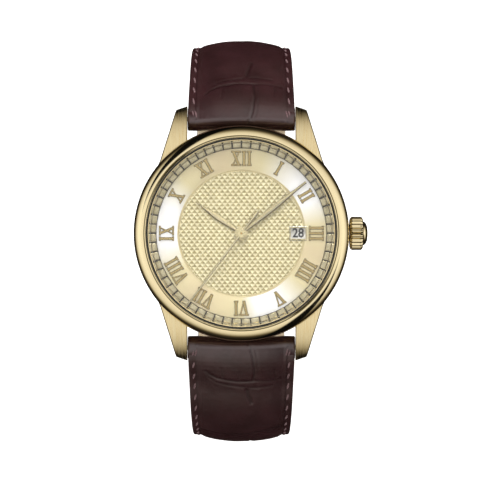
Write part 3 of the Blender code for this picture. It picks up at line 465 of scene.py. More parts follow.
block_gilt, tree, shader = new_material("brass_gilt_tumbled", "#b9ad8c", 0.85, 0.32)
spot = add_node(tree, "ShaderNodeTexCoord")
patch = add_node(tree, "ShaderNodeTexNoise", {"Vector": spot.outputs["Object"], "Scale": 1100.0})
tint = add_node(tree, "ShaderNodeValToRGB", {"Fac": patch.outputs["Fac"]})
fill_ramp(tint, [(0.3, linear("#b0a680")), (0.7, linear("#cbc1a0"))])
tree.links.new(tint.outputs["Color"], shader.inputs["Base Color"])
ring_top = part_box("chapter_ring")[1][2]
bm = bmesh.new()
for minute in range(60):
    block = bmesh.ops.create_cube(bm, size=1.0)["verts"]
    bmesh.ops.scale(bm, verts=block, vec=(1.02 * mm, 1.5 * mm, 0.36 * mm))
    edges = list({edge for vert in block for edge in vert.link_edges})
    rounded = bmesh.ops.bevel(
        bm, geom=edges, offset=0.17 * mm, segments=2, profile=0.5, affect="EDGES", material=-1
    )
    block = list({vert for face in rounded["faces"] for vert in face.verts} | {v for v in block if v.is_valid})
    # The sides follow the radius, so that the gap is even.
    for vert in block:
        vert.co.y *= 1 + vert.co.x / (16.3 * mm)
    turn = Matrix.Rotation(math.radians(90 - 6 * minute - 3), 4, "Z")
    middle = Matrix.Translation((16.33 * mm, 0, ring_top - 0.06 * mm))
    bmesh.ops.transform(bm, verts=block, matrix=turn @ middle)
blocks = place(bm, "minute_blocks", block_gilt)
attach(blocks, "head")

# ------------------------------------------------------------------ dial
# A brass disc, gilt to a champagne colour. Its outer zone is brushed outwards from the centre; its bright
# and dull rays are painted into its colour by angle: painted highlights and painted shade. Its middle is stamped with
# small pits, inside a turned rim.
dial_satin, tree, shader = new_material("brass_gilt_sunray_brushed_painted_glare", "#d8c697", 0.55, 0.34)
spot = add_node(tree, "ShaderNodeTexCoord")
at = add_node(tree, "ShaderNodeSeparateXYZ", {"Vector": spot.outputs["Object"]})
angle = add_node(
    tree, "ShaderNodeMath", {0: at.outputs["X"], 1: at.outputs["Y"]}, operation="ARCTAN2"
)
share = add_node(
    tree,
    "ShaderNodeMapRange",
    {"Value": angle.outputs[0], "From Min": -math.pi, "From Max": math.pi, "To Min": 0.0, "To Max": 1.0},
)
painted_glare_ramp = add_node(tree, "ShaderNodeValToRGB", {"Fac": share.outputs[0]})
tan, straw, bright = linear("#dfcea6"), linear("#e4d8ab"), linear("#ffffff")
# Painted highlights and shade: rays by clock angle, white for glare and tan for dull, from 6 o'clock at 0 through 12
# o'clock at 0.5: half a turn is added.
painted_glare_stops = [(180, straw), (214, tan), (240, straw), (262, bright), (290, bright), (313, straw)]
painted_glare_stops += [(345, tan), (16, straw), (46, bright), (66, bright), (84, straw), (106, tan)]
painted_glare_stops += [(130, straw), (150, bright), (168, bright)]
stops = sorted((((clock + 180) % 360) / 360, colour) for clock, colour in painted_glare_stops)
fill_ramp(painted_glare_ramp, stops + [(1.0, straw)])
streak = add_node(tree, "ShaderNodeMath", {0: angle.outputs[0], 1: 150.0}, operation="MULTIPLY")
# Brush strokes are about 0.1 mm wide at the numerals: 150 to each radian.
strokes = add_node(
    tree,
    "ShaderNodeTexNoise",
    {"W": streak.outputs[0], "Scale": 1.0, "Detail": 1.0},
    noise_dimensions="1D",
)
tint = add_node(
    tree,
    "ShaderNodeMix",
    {0: 0.1, 6: painted_glare_ramp.outputs["Color"], 7: strokes.outputs["Fac"]},
    data_type="RGBA",
    blend_type="OVERLAY",
)
tree.links.new(tint.outputs[2], shader.inputs["Base Color"])
brushed = add_node(
    tree, "ShaderNodeBump", {"Height": strokes.outputs["Fac"], "Strength": 0.08, "Distance": 0.02 * mm}
)
tree.links.new(brushed.outputs[0], shader.inputs["Normal"])
dress(["numeral_ring", "dial"], dial_satin)

disc_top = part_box("dial")[1][2]
satin_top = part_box("numeral_ring")[0][2] + 0.12 * mm
rim_low = (disc_top - back_height) / mm
ring_high = (satin_top - back_height) / mm
satin_profile = [(15.72, rim_low + 0.04), (15.72, ring_high), (15.66, ring_high + 0.02)]
satin_profile += [(11.9, ring_high + 0.02), (11.82, ring_high - 0.02), (11.8, rim_low + 0.04)]
bm = turned(satin_profile, 240)
window_low, window_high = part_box("date_window_frame")
opening_low = Vector(window_low) + Vector((0.23, 0.3, 0)) * mm
opening_high = Vector(window_high) - Vector((0.23, 0.3, 0)) * mm


def split_window(bm, low, high, grow):
    """Cuts a mesh along the sides of the date window and removes what is inside it."""
    low, high = low - Vector((grow, grow, 0)), high + Vector((grow, grow, 0))
    for point, normal in ((low, (1, 0, 0)), (high, (1, 0, 0)), (low, (0, 1, 0)), (high, (0, 1, 0))):
        geom = bm.verts[:] + bm.edges[:] + bm.faces[:]
        bmesh.ops.bisect_plane(bm, geom=geom, plane_co=point, plane_no=normal)
    inside = [
        face
        for face in bm.faces
        if low.x < face.calc_center_median().x < high.x and low.y < face.calc_center_median().y < high.y
    ]
    bmesh.ops.delete(bm, geom=inside, context="FACES")


split_window(bm, opening_low, opening_high, 0.05 * mm)
satin_ring = place(bm, "dial_satin_zone", dial_satin)
satin_ring.data.set_sharp_from_angle(angle=math.radians(40))
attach(satin_ring, "head")

# The turned rim is a narrow step between the pits and the satin zone.
rim_profile = [(11.86, ring_high + 0.03), (11.86, rim_low), (11.36, rim_low), (11.36, ring_high - 0.06)]
rim_profile += [(11.52, ring_high - 0.02), (11.6, ring_high - 0.1), (11.72, ring_high + 0.02)]
dial_rim, tree, shader = new_material("brass_gilt_turned", "#dccfa4", 0.6, 0.42)
spot = add_node(tree, "ShaderNodeTexCoord")
haze = add_node(tree, "ShaderNodeTexNoise", {"Vector": spot.outputs["Object"], "Scale": 900.0})
spread = add_node(
    tree,
    "ShaderNodeMapRange",
    {"Value": haze.outputs["Fac"], "From Min": 0.3, "From Max": 0.7, "To Min": 0.38, "To Max": 0.5},
)
tree.links.new(spread.outputs[0], shader.inputs["Roughness"])
bm = turned(rim_profile, 200)
split_window(bm, opening_low, opening_high, 0.05 * mm)
rim = place(bm, "dial_turned_rim", dial_rim)
rim.data.set_sharp_from_angle(angle=math.radians(40))
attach(rim, "head")

# Each pit is a diamond 1.02 mm wide and 1.25 mm tall, pressed 0.17 mm deep at its point. The slopes on the
# 12 o'clock side of each pit get a darker, rougher copy of the gilt, and the others the bright one: painted shade.
dial_stamped, tree, shader = new_material("brass_gilt_stamped", "#ddd1a6", 0.3, 0.45)
spot = add_node(tree, "ShaderNodeTexCoord")
patch = add_node(tree, "ShaderNodeTexNoise", {"Vector": spot.outputs["Object"], "Scale": 700.0})
tint = add_node(tree, "ShaderNodeValToRGB", {"Fac": patch.outputs["Fac"]})
fill_ramp(tint, [(0.3, linear("#ddd3a9")), (0.7, linear("#e8dfb9"))])
tree.links.new(tint.outputs["Color"], shader.inputs["Base Color"])
dial_stamped_painted_shade, tree, shader = new_material("brass_gilt_stamped_painted_shade", "#b5a774", 0.3, 0.55)
spot = add_node(tree, "ShaderNodeTexCoord")
patch = add_node(tree, "ShaderNodeTexNoise", {"Vector": spot.outputs["Object"], "Scale": 700.0})
tint = add_node(tree, "ShaderNodeValToRGB", {"Fac": patch.outputs["Fac"]})
fill_ramp(tint, [(0.3, linear("#b3a572")), (0.7, linear("#c4b786"))])
tree.links.new(tint.outputs["Color"], shader.inputs["Base Color"])
stamped_radius, diamond_wide, diamond_tall, pit_depth = 11.45 * mm, 1.02 * mm, 1.25 * mm, 0.17 * mm
cells = 48
bm = bmesh.new()
bmesh.ops.create_grid(bm, x_segments=cells, y_segments=cells, size=cells / 2)
bmesh.ops.rotate(bm, verts=bm.verts, cent=(0, 0, 0), matrix=Matrix.Rotation(math.radians(45), 3, "Z"))
root = math.sqrt(0.5)
bmesh.ops.scale(bm, verts=bm.verts, vec=(root * diamond_wide, root * diamond_tall, 1))
far = [v for v in bm.verts if math.hypot(v.co.x, v.co.y) > stamped_radius + 1.3 * mm]
bmesh.ops.delete(bm, geom=far, context="VERTS")
bmesh.ops.poke(bm, faces=bm.faces[:], offset=-pit_depth)
# Painted shade: faces turned towards 6 o'clock take the darker copy of the gilt.
for face in bm.faces:
    face.normal_update()
    face.material_index = 1 if face.normal.y < 0 else 0
for step in range(72):
    out = Vector((math.cos(step * math.pi / 36), math.sin(step * math.pi / 36), 0))
    bmesh.ops.bisect_plane(
        bm,
        geom=bm.verts[:] + bm.edges[:] + bm.faces[:],
        plane_co=out * stamped_radius,
        plane_no=out,
        clear_outer=True,
    )
bmesh.ops.translate(bm, verts=bm.verts, vec=(0, 0, disc_top + 0.19 * mm))
split_window(bm, opening_low, opening_high, 0.05 * mm)
stamped = place(bm, "dial_stamped_centre", dial_stamped)
stamped.data.materials.append(dial_stamped_painted_shade)
stamped.data.shade_flat()
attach(stamped, "head")

# ------------------------------------------------------------------ hour numerals
# Applied Roman numerals, cut from brass, diamond-cut on top so that each stroke has a flat
# face between sloping sides, gold plated and riveted to the dial. Four o'clock is IIII.
gold_cut, tree, shader = new_material("brass_gold_plated_diamond_cut", "#b3a06a", 1.0, 0.2)
spot = add_node(tree, "ShaderNodeTexCoord")
haze = add_node(tree, "ShaderNodeTexNoise", {"Vector": spot.outputs["Object"], "Scale": 2500.0})
spread = add_node(
    tree,
    "ShaderNodeMapRange",
    {"Value": haze.outputs["Fac"], "From Min": 0.3, "From Max": 0.7, "To Min": 0.12, "To Max": 0.24},
)
tree.links.new(spread.outputs[0], shader.inputs["Roughness"])
foot, head_end, serif = 12.45, 15.28, 0.36
thick, thin = 0.56, 0.3
advance = {"I": 0.98, "V": 1.95, "X": 1.95}
numerals = ("XII", "I", "II", "III", "IIII", "V", "VI", "VII", "VIII", "IX", "X", "XI")


def stroke(bm, low_at, high_at, width, hour, lift=0.0):
    """One stroke from the numeral's foot to its head, as a bar with a flat top and sloping sides."""
    half = width / 2
    corners = [(low_at - half, foot), (low_at + half, foot), (high_at + half, head_end), (high_at - half, head_end)]
    return bar(bm, corners, hour, lift)


def bar(bm, corners, hour, lift=0.0):
    """A raised bar over four corners, given across and outwards from the dial's centre."""
    base = satin_top - 0.02 * mm
    verts = [bm.verts.new((x * mm, y * mm, base)) for x, y in corners]
    raised = bmesh.ops.extrude_face_region(bm, geom=[bm.faces.new(verts)])["geom"]
    tops = [part for part in raised if isinstance(part, bmesh.types.BMFace)]
    points = [part for part in raised if isinstance(part, bmesh.types.BMVert)]
    bmesh.ops.translate(bm, verts=points, vec=(0, 0, (0.12 + lift) * mm))
    flanks = {face for vert in points for face in vert.link_faces} - set(tops)
    wide = min((corners[1][0] - corners[0][0]), (corners[2][1] - corners[1][1]))
    slope = min(0.13, 0.34 * wide)
    sloped = bmesh.ops.inset_individual(bm, faces=tops, thickness=slope * mm, depth=0.1 * mm)["faces"]
    # Painted shade: the flanks and the sloping sides get the dark gold.
    for face in flanks | set(sloped):
        face.material_index = 1
    reached = list({vert for face in tops for vert in face.verts} | set(points) | set(verts))
    bmesh.ops.rotate(
        bm, verts=reached, cent=(0, 0, 0), matrix=Matrix.Rotation(math.radians(-30 * hour), 3, "Z")
    )


bm = bmesh.new()
for hour, numeral in enumerate(numerals):
    left = -sum(advance[letter] for letter in numeral) / 2
    for number, letter in enumerate(numeral):
        right = left + advance[letter]
        middle = (left + right) / 2
        rise = 0.006 * number
        if letter == "I":
            stroke(bm, middle, middle, thick, hour, rise)
        elif letter == "V":
            stroke(bm, middle + 0.05, left + 0.42, thick, hour, rise)
            stroke(bm, middle + 0.05, right - 0.3, thin, hour, rise + 0.01)
        else:
            stroke(bm, right - 0.42, left + 0.42, thick, hour, rise)
            stroke(bm, left + 0.3, right - 0.3, thin, hour, rise + 0.01)
        # Serifs: the heads join in one bar, and every foot but a V's stands on its own.
        ends = [(head_end - serif, head_end)] + ([(foot, foot + serif)] if letter != "V" else [])
        for low, high in ends:
            reach = 0.06
            serif_bar = [(left + reach, low), (right - reach, low), (right - reach, high), (left + reach, high)]
            bar(bm, serif_bar, hour, rise - 0.012)
        left = right
bmesh.ops.recalc_face_normals(bm, faces=bm.faces)
numeral_set = place(bm, "hour_numerals", gold_cut)
# A dark gold for the flanks of the numerals and the hands: painted shade.
gold_flank_painted_shade, tree, shader = new_material("brass_gold_plated_painted_shade", "#5a4a20", 0.7, 0.4)
spot = add_node(tree, "ShaderNodeTexCoord")
patch = add_node(tree, "ShaderNodeTexNoise", {"Vector": spot.outputs["Object"], "Scale": 2500.0})
tint = add_node(tree, "ShaderNodeValToRGB", {"Fac": patch.outputs["Fac"]})
fill_ramp(tint, [(0.3, linear("#4e3f1a")), (0.7, linear("#6e5c2e"))])
tree.links.new(tint.outputs["Color"], shader.inputs["Base Color"])
numeral_set.data.materials.append(gold_flank_painted_shade)
numeral_set.data.shade_flat()
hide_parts("numeral_ring")
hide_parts("numeral_ring")
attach(numeral_set, "head")

# ------------------------------------------------------------------ date
# A white disc with the days of the month turns under the dial and shows through a window at
# 3 o'clock, in a bevelled frame. The digits are printed.
date_white, tree, shader = new_material("date_disc_white_lacquer", "#f4f4f2", 0.0, 0.35)
spot = add_node(tree, "ShaderNodeTexCoord")
grain = add_node(tree, "ShaderNodeTexNoise", {"Vector": spot.outputs["Object"], "Scale": 3000.0})
mark = add_node(tree, "ShaderNodeBump", {"Height": grain.outputs["Fac"], "Strength": 0.05, "Distance": 0.01 * mm})
tree.links.new(mark.outputs[0], shader.inputs["Normal"])
dress(["date_ring"], date_white)
ink, tree, shader = new_material("pad_print_ink_black", "#0c0c12", 0.0, 0.4)
spot = add_node(tree, "ShaderNodeTexCoord")
grain = add_node(tree, "ShaderNodeTexNoise", {"Vector": spot.outputs["Object"], "Scale": 5000.0})
tint = add_node(tree, "ShaderNodeValToRGB", {"Fac": grain.outputs["Fac"]})
fill_ramp(tint, [(0.3, linear("#08080e")), (0.7, linear("#15151c"))])
tree.links.new(tint.outputs["Color"], shader.inputs["Base Color"])
date_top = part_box("date_ring")[1][2]
bm = bmesh.new()
for day in range(1, 32):
    text = bpy.data.curves.new(f"day_{day}", "FONT")
    text.body, text.align_x, text.align_y = str(day), "CENTER", "CENTER"
    text.size, text.resolution_u, text.offset = 2.2 * mm, 3, 0.055 * mm
    holder = bpy.data.objects.new(f"day_{day}", text)
    bpy.context.scene.collection.objects.link(holder)
    flat = bpy.data.meshes.new_from_object(holder)
    flat.transform(Matrix.Diagonal((0.98, 1.08, 1, 1)))
    flat.transform(Matrix.Translation((10.5 * mm, 0, date_top + 0.012 * mm)))
    # The ring turns clockwise by one place a day, so later days follow anticlockwise.
    flat.transform(Matrix.Rotation(math.radians((28 - day) * -360 / 31), 4, "Z"))
    bm.from_mesh(flat)
    bpy.data.objects.remove(holder, do_unlink=True)
    bpy.data.meshes.remove(flat)
days = place(bm, "date_digits", ink)
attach(days, "date_ring")

rhodium, tree, shader = new_material("brass_rhodium_plated_bevelled", "#8f9088", 1.0, 0.2)
spot = add_node(tree, "ShaderNodeTexCoord")
haze = add_node(tree, "ShaderNodeTexNoise", {"Vector": spot.outputs["Object"], "Scale": 3000.0})
spread = add_node(
    tree,
    "ShaderNodeMapRange",
    {"Value": haze.outputs["Fac"], "From Min": 0.3, "From Max": 0.7, "To Min": 0.16, "To Max": 0.3},
)
tree.links.new(spread.outputs[0], shader.inputs["Roughness"])
# The frame slopes down to the window all round.
bm = bmesh.new()
low, high = Vector(window_low), Vector(window_high)
corners = [(low.x, low.y), (high.x, low.y), (high.x, high.y), (low.x, high.y)]
outer = [bm.verts.new((x, y, disc_top + 0.03 * mm)) for x, y in corners]
outer_loop = [bm.edges.new((outer[k], outer[(k + 1) % 4])) for k in range(4)]
sides = (opening_low, opening_high)
for inset, level in ((0.0, high.z - 0.03 * mm), (0.05 * mm, high.z), (None, disc_top - 0.3 * mm)):
    grown = bmesh.ops.extrude_edge_only(bm, edges=outer_loop)["geom"]
    points = [part for part in grown if isinstance(part, bmesh.types.BMVert)]
    outer_loop = [part for part in grown if isinstance(part, bmesh.types.BMEdge)]
    outer_loop = [edge for edge in outer_loop if all(vert in points for vert in edge.verts)]
    for vert in points:
        right_side, upper_side = vert.co.x > (low.x + high.x) / 2, vert.co.y > 0
        if inset is None:
            vert.co.x, vert.co.y = sides[right_side].x, sides[upper_side].y
        else:
            vert.co.x += -inset if right_side else inset
            vert.co.y += -inset if upper_side else inset
        vert.co.z = level
bmesh.ops.recalc_face_normals(bm, faces=bm.faces)
window_frame = place(bm, "date_window_bevelled", rhodium)
window_frame.data.shade_flat()
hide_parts("date_window_frame")
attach(window_frame, "head")

# ------------------------------------------------------------------ hands
# Three brass hands, each pressed with a ridge down its middle, plated pale gold. One slope is bright and
# the other dark by painted highlight and painted shade. The seconds hand ends behind in a small lance.
# The bright copy of the gold, for one slope of each hand: painted highlight.
gold_pale_painted_highlight, tree, shader = new_material("brass_pale_gold_plated_polished_painted_highlight", "#f6ecc9", 0.5, 0.12)
spot = add_node(tree, "ShaderNodeTexCoord")
haze = add_node(tree, "ShaderNodeTexNoise", {"Vector": spot.outputs["Object"], "Scale": 2000.0})
spread = add_node(
    tree,
    "ShaderNodeMapRange",
    {"Value": haze.outputs["Fac"], "From Min": 0.3, "From Max": 0.7, "To Min": 0.09, "To Max": 0.18},
)
tree.links.new(spread.outputs[0], shader.inputs["Roughness"])


# A darker, rougher copy of the pale gold, for the other slope as painted shade, and for the hubs.
gold_frosted_painted_shade, tree, shader = new_material("brass_pale_gold_plated_frosted_painted_shade", "#d6c99c", 0.6, 0.3)
spot = add_node(tree, "ShaderNodeTexCoord")
haze = add_node(tree, "ShaderNodeTexNoise", {"Vector": spot.outputs["Object"], "Scale": 4000.0})
spread = add_node(
    tree,
    "ShaderNodeMapRange",
    {"Value": haze.outputs["Fac"], "From Min": 0.3, "From Max": 0.7, "To Min": 0.25, "To Max": 0.4},
)
tree.links.new(spread.outputs[0], shader.inputs["Roughness"])


def hand(name, node, body, clock, outline, level, ridge, hub, painted_highlight_right=False):
    """A ridged hand from (half width, distance from the centre) pairs, with a stepped round hub."""
    edges = (0.06, 0.2) if painted_highlight_right else (0.2, 0.06)
    around, rows = 6, len(outline) - 1
    bm = bmesh.new()
    bmesh.ops.create_grid(bm, x_segments=around, y_segments=rows, size=0.5)
    # One slope gets the bright gold, the other the darker copy, and the flanks and underside the dark gold: painted
    # highlight and painted shade.
    for face in bm.faces:
        column = int((face.calc_center_median().x + 0.5) * around)
        # Columns run: left flank, left slope, right slope, right flank, underside.
        face.material_index = (2, 1, 0, 2, 2, 2)[column] if painted_highlight_right else (2, 0, 1, 2, 2, 2)[column]
    for vert in bm.verts:
        column, row = round((vert.co.x + 0.5) * around) % around, round((vert.co.y + 0.5) * rows)
        half, distance = outline[row]
        left_edge, right_edge = (min(edge, 0.5 * half) for edge in edges)
        rise = ridge * min(1.0, half / 0.4)
        across, lift = (
            (-half, 0.0), (left_edge - half, 0.06), (0.0, 0.06 + rise), (half - right_edge, 0.06), (half, 0.0), (0.0, -0.01)
        )[column]
        vert.co = (across * mm, distance * mm, level + lift * mm)
    bmesh.ops.remove_doubles(bm, verts=bm.verts, dist=1e-8)
    loop = [edge for edge in bm.edges if edge.is_boundary]
    bmesh.ops.holes_fill(bm, edges=loop, sides=0)
    bmesh.ops.rotate(
        bm, verts=bm.verts, cent=(0, 0, 0), matrix=Matrix.Rotation(math.radians(-clock), 3, "Z")
    )
    low = (level - back_height) / mm
    hub_profile = [(hub[0], low - 0.02), (hub[0], low + hub[2]), (hub[0] - 0.12, low + hub[2] + 0.05)]
    hub_profile += [(hub[1], low + hub[2] + 0.05), (hub[1], low - 0.02)]
    disc = turned(hub_profile, 64)
    for face in disc.faces:
        face.material_index = 1
    flat = bpy.data.meshes.new(name)
    disc.to_mesh(flat)
    bm.from_mesh(flat)
    bpy.data.meshes.remove(flat)
    disc.free()
    bmesh.ops.recalc_face_normals(bm, faces=bm.faces)
    piece = place(bm, name, gold_pale_painted_highlight)
    piece.data.materials.append(gold_frosted_painted_shade)
    piece.data.materials.append(gold_flank_painted_shade)
    piece.data.set_sharp_from_angle(angle=math.radians(12))
    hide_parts(node)
    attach(piece, body)


hour_line = [(0.3, 0.2), (0.36, 1.4), (0.46, 2.8), (0.55, 4.2), (0.57, 5.0), (0.5, 6.4), (0.34, 7.6)]
hour_line += [(0.16, 8.7), (0.08, 9.4), (0.045, 10.2)]
minute_line = [(0.28, 0.2), (0.34, 1.6), (0.44, 3.8), (0.5, 6.2), (0.5, 7.4), (0.44, 9.4), (0.33, 11.4)]
minute_line += [(0.25, 12.8), (0.22, 15.25)]
seconds_line = [(0.06, -5.5), (0.3, -4.6), (0.34, -4.2), (0.2, -3.1), (0.16, -1.4), (0.2, 0), (0.19, 4)]
seconds_line += [(0.13, 16.75)]
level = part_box("hour_hand")[0][2] + 0.01 * mm
hand("hour_hand_ridged", "hour_hand", "hours", 304.3, hour_line, level, 0.2, (1.25, 0.78, 0.1))
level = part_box("minute_hand")[0][2] + 0.01 * mm
hand("minute_hand_ridged", "minute_hand", "minutes", 51.6, minute_line, level, 0.17, (1.0, 0.46, 0.08), True)
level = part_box("seconds_hand")[0][2] + 0.01 * mm
hand("seconds_hand_ridged", "seconds_hand", "seconds", 217.0, seconds_line, level, 0.06, (0.8, 0.22, 0.09))

# ------------------------------------------------------------------ crown
# The winding button: turned from steel, knurled with twenty-four rounded flutes for grip, with
# a domed cap, and coated and polished like the bezel.
crown_low, crown_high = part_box("crown")
crown_middle = (crown_low[2] + crown_high[2]) / 2
flutes, flute_depth, grip_radius = 24, 0.26, 3.12
crown_profile = [(0, 3.4), (0.7, 3.37), (1.3, 3.28), (1.8, 3.1), (2.12, 2.84), (2.2, 2.66), (2.22, 2.56)]
crown_profile += [(2.6, 2.52), (2.86, 2.42), (3.05, 2.26), (grip_radius, 2.05), (grip_radius, 1.2)]
crown_profile += [(grip_radius, 0.5), (3.05, 0.28), (2.85, 0.1), (2.6, 0.0), (1.7, 0.0), (1.7, 2.4), (0, 2.4)]
bm = turned([(r, d) for r, d in crown_profile], flutes * 12, closed=False)
for vert in bm.verts:
    radius = math.hypot(vert.co.x, vert.co.y)
    turn = math.atan2(vert.co.y, vert.co.x) * flutes
    bite = max(0.0, min(1.0, (radius / mm - 2.35) / 0.5))
    depth = flute_depth * mm * bite * (0.5 - 0.5 * math.cos(turn)) ** 0.7
    if radius > 1e-6:
        vert.co.x *= 1 - depth / radius
        vert.co.y *= 1 - depth / radius
lay = Matrix.Translation((crown_low[0], 0, crown_middle)) @ Matrix.Rotation(math.radians(90), 4, "Y")
bmesh.ops.transform(bm, verts=bm.verts, matrix=lay @ Matrix.Translation((0, 0, -back_height)))
bmesh.ops.recalc_face_normals(bm, faces=bm.faces)
crown = place(bm, "crown_fluted", gold_polished)
crown.data.set_sharp_from_angle(angle=math.radians(50))
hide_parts("crown")
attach(crown, "crown_and_stem")

# ------------------------------------------------------------------ strap leather
# Each half is calf leather, embossed with a crocodile's large scales, dyed dark burgundy brown
# and glazed. It is folded round its spring bar and padded with foam, so that its middle
# is crowned between two flat stitched edges, and it thins towards the end.
bar_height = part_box("spring_bar_12_body")[0][2] / mm + 0.75
bar_offset, roll_radius, lining_thick, saddle = 21.4, 1.9, 0.7, 0.42
tail_thick, flange = 2.2, 1.4


def heading(degrees):
    return Vector((math.cos(math.radians(degrees)), math.sin(math.radians(degrees))))


def strap_line(horizon, fold, last, length):
    """The lining's line seen from the side, as (outward, height) points in millimetres."""
    first, down = heading(-15), Vector((0, -1))
    start = Vector((bar_offset, bar_height)) - Vector((-first.y, first.x)) * roll_radius
    line = []
    upper, lower = (horizon - start).length * saddle, (fold - horizon).length * saddle
    curves = (
        (start, start + first * upper, horizon - down * upper, horizon),
        (horizon, horizon + down * lower, fold - last * lower, fold),
    )
    for a, b, c, d in curves:
        for step in range(41):
            t = step / 40
            line.append(a * (1 - t) ** 3 + b * 3 * t * (1 - t) ** 2 + c * 3 * t * t * (1 - t) + d * t**3)
    return line + [fold + last * length]


def strap_point(line, side, distance, across, out):
    """A point of a strap half, by distance along its lining, place across it and height off it."""
    left = distance
    for a, b in zip(line, line[1:]):
        span = (b - a).length
        if left <= span:
            break
        left -= span
    along = (b - a).normalized()
    flat = a + along * left + Vector((-along.y, along.x)) * out
    return Vector((across, side * flat.x, flat.y)) * mm


def ease(value, low, high):
    t = min(1.0, max(0.0, (value - low) / (high - low)))
    return t * t * (3 - 2 * t)


def strap_half(distance):
    return 10.06 - 0.72 * ease(distance, -6, 26) - 0.34 * min(1.0, max(0.0, distance - 20) / 50)


def edge_height(distance):
    body = tail_thick + 1.2 * (1 - ease(distance, 0, 8)) + 0.4 * (1 - ease(distance, 8, 45))
    return body + 0.45 * ease(distance, 6, 14) * (1 - ease(distance, 30, 48)) + 0.3 * (1 - ease(distance, 1, 6))


# Creases between scales: (distance along the strap, place across it) points, depth and width.
creases = [
    ([(3.6, -7.0), (4.7, -6.2), (5.7, -4.6), (6.1, -2.9), (6.5, 0.0), (6.7, 2.8), (6.5, 5.8)], 0.07, 0.2),
    ([(3.6, -6.7), (4.35, -5.7), (4.8, -4.6), (5.1, -2.9), (5.4, -0.9), (5.4, 0.7), (5.3, 3.0)], 0.13, 0.24),
    ([(5.3, 3.0), (5.5, 5.0), (5.2, 7.6)], 0.07, 0.22),
    ([(5.3, 2.2), (3.2, 2.5), (1.05, 2.2), (-0.7, 1.75), (-1.7, 1.3)], 0.15, 0.22),
    ([(4.1, 3.0), (1.6, 3.0), (-0.2, 2.65), (-1.3, 2.2)], 0.06, 0.2),
    ([(7.1, 1.0), (8.4, 1.4), (9.6, 1.9)], 0.13, 0.3),
    ([(4.7, -3.4), (2.9, -3.7)], 0.05, 0.2),
    ([(5.4, 6.4), (3.2, 6.2)], 0.06, 0.2),
    ([(4.8, -0.2), (3.3, -0.2)], 0.035, 0.18),
]
rows = (17.4, 27.6, 37.2, 46.0, 54.2, 61.6, 68.6, 75.0, 81.2, 87.4, 93.4, 99.2, 104.6)
for index, row in enumerate(rows):
    lean = 0.7 if index % 2 else -0.7
    bow = [(row + lean * w / 8 + 0.5 * math.cos(w / 3 + index), w) for w in (-8, -5, -2, 1, 4, 7, 8)]
    creases.append((bow, 0.17, 0.28))
    creases.append(([(s + 0.95, w) for s, w in bow], 0.09, 0.24))
    reach = rows[index + 1] if index + 1 < len(rows) else row + 6
    places = (-2.2, 3.4) if index % 2 else (1.4,)
    for place_across in places:
        begin = max(row + 1, 22)
        sway = [(begin + (reach - begin) * t, place_across + 0.5 * math.sin(4 * t + index)) for t in (0, 0.3, 0.6, 1)]
        creases.append((sway, 0.16, 0.28))


def crease_depth(distance, across):
    """How deep the embossed creases are at one point, in millimetres."""
    depth = 0.0
    for points, deep, wide in creases:
        if min(p[0] for p in points) - 1.2 > distance or max(p[0] for p in points) + 1.2 < distance:
            continue
        nearest = 9.0
        for (s0, w0), (s1, w1) in zip(points, points[1:]):
            ds, dw = s1 - s0, w1 - w0
            t = ((distance - s0) * ds + (across - w0) * dw) / (ds * ds + dw * dw)
            t = min(1.0, max(0.0, t))
            nearest = min(nearest, math.hypot(distance - s0 - t * ds, across - w0 - t * dw))
        if nearest < 4 * wide:
            # A groove with softly raised lips.
            depth = max(depth, deep * math.exp(-((nearest / wide) ** 2)))
            depth -= 0.18 * deep * math.exp(-(((nearest - 2.1 * wide) / wide) ** 2))
    return depth


def end_share(distance, length, pointed):
    """How much of its width a strap half keeps near its end."""
    if not pointed or distance < length - 9:
        return 1.0
    t = (distance - (length - 9)) / 9
    return max(0.3, math.sqrt(max(0.0, 1 - t**2.4)))


def upper_height(distance, across, half):
    """Height of the leather's outer face over the lining line, in millimetres."""
    inner = max(0.5, half - flange)
    pad = (0.95 + 0.25 * ease(distance, -1, 5)) * (1 - ease(distance, 22, 56))
    crown = max(0.0, 1 - (abs(across) / inner) ** 2.3)
    shape = edge_height(distance) + pad * crown
    # The edge is pressed down along the seam, and the dome starts with a soft step.
    if abs(across) < inner:
        shape += 0.16 * ease(inner - abs(across), 0, 0.9)
        worn = min(1.0, (inner - abs(across)) / 0.8)
        shape -= crease_depth(distance, across) * worn
        soft = noise.noise(Vector((across * 0.35, distance * 0.35, 1.7)))
        fine = noise.noise(Vector((across * 1.3, distance * 1.3, 6.1)))
        shape += (0.05 * soft + 0.012 * fine) * worn
    return shape - 0.12 - 0.22 * ease(distance, 60, 78)


def cross_section(distance, length, pointed, low):
    """The outline of the leather at one distance: up one side, over the top and down."""
    half = strap_half(distance) * end_share(distance, length, pointed)
    count, corner = 88, 0.35
    top = []
    for k in range(count + 1):
        w = (half - corner) * (2 * k / count - 1)
        top.append((w, upper_height(distance, w, half)))
    left, right = top[0], top[-1]
    side = []
    for angle in (180, 157, 135, 112):
        turn = math.radians(angle)
        side.append((left[0] + corner * math.cos(turn), left[1] - corner + corner * math.sin(turn)))
    other = [(-w, right[1] - left[1] + n) for w, n in reversed(side)]
    return [(-half + 0.1, low), (-half, low + 0.15)] + side + top + other + [(half, low + 0.15), (half - 0.1, low)]


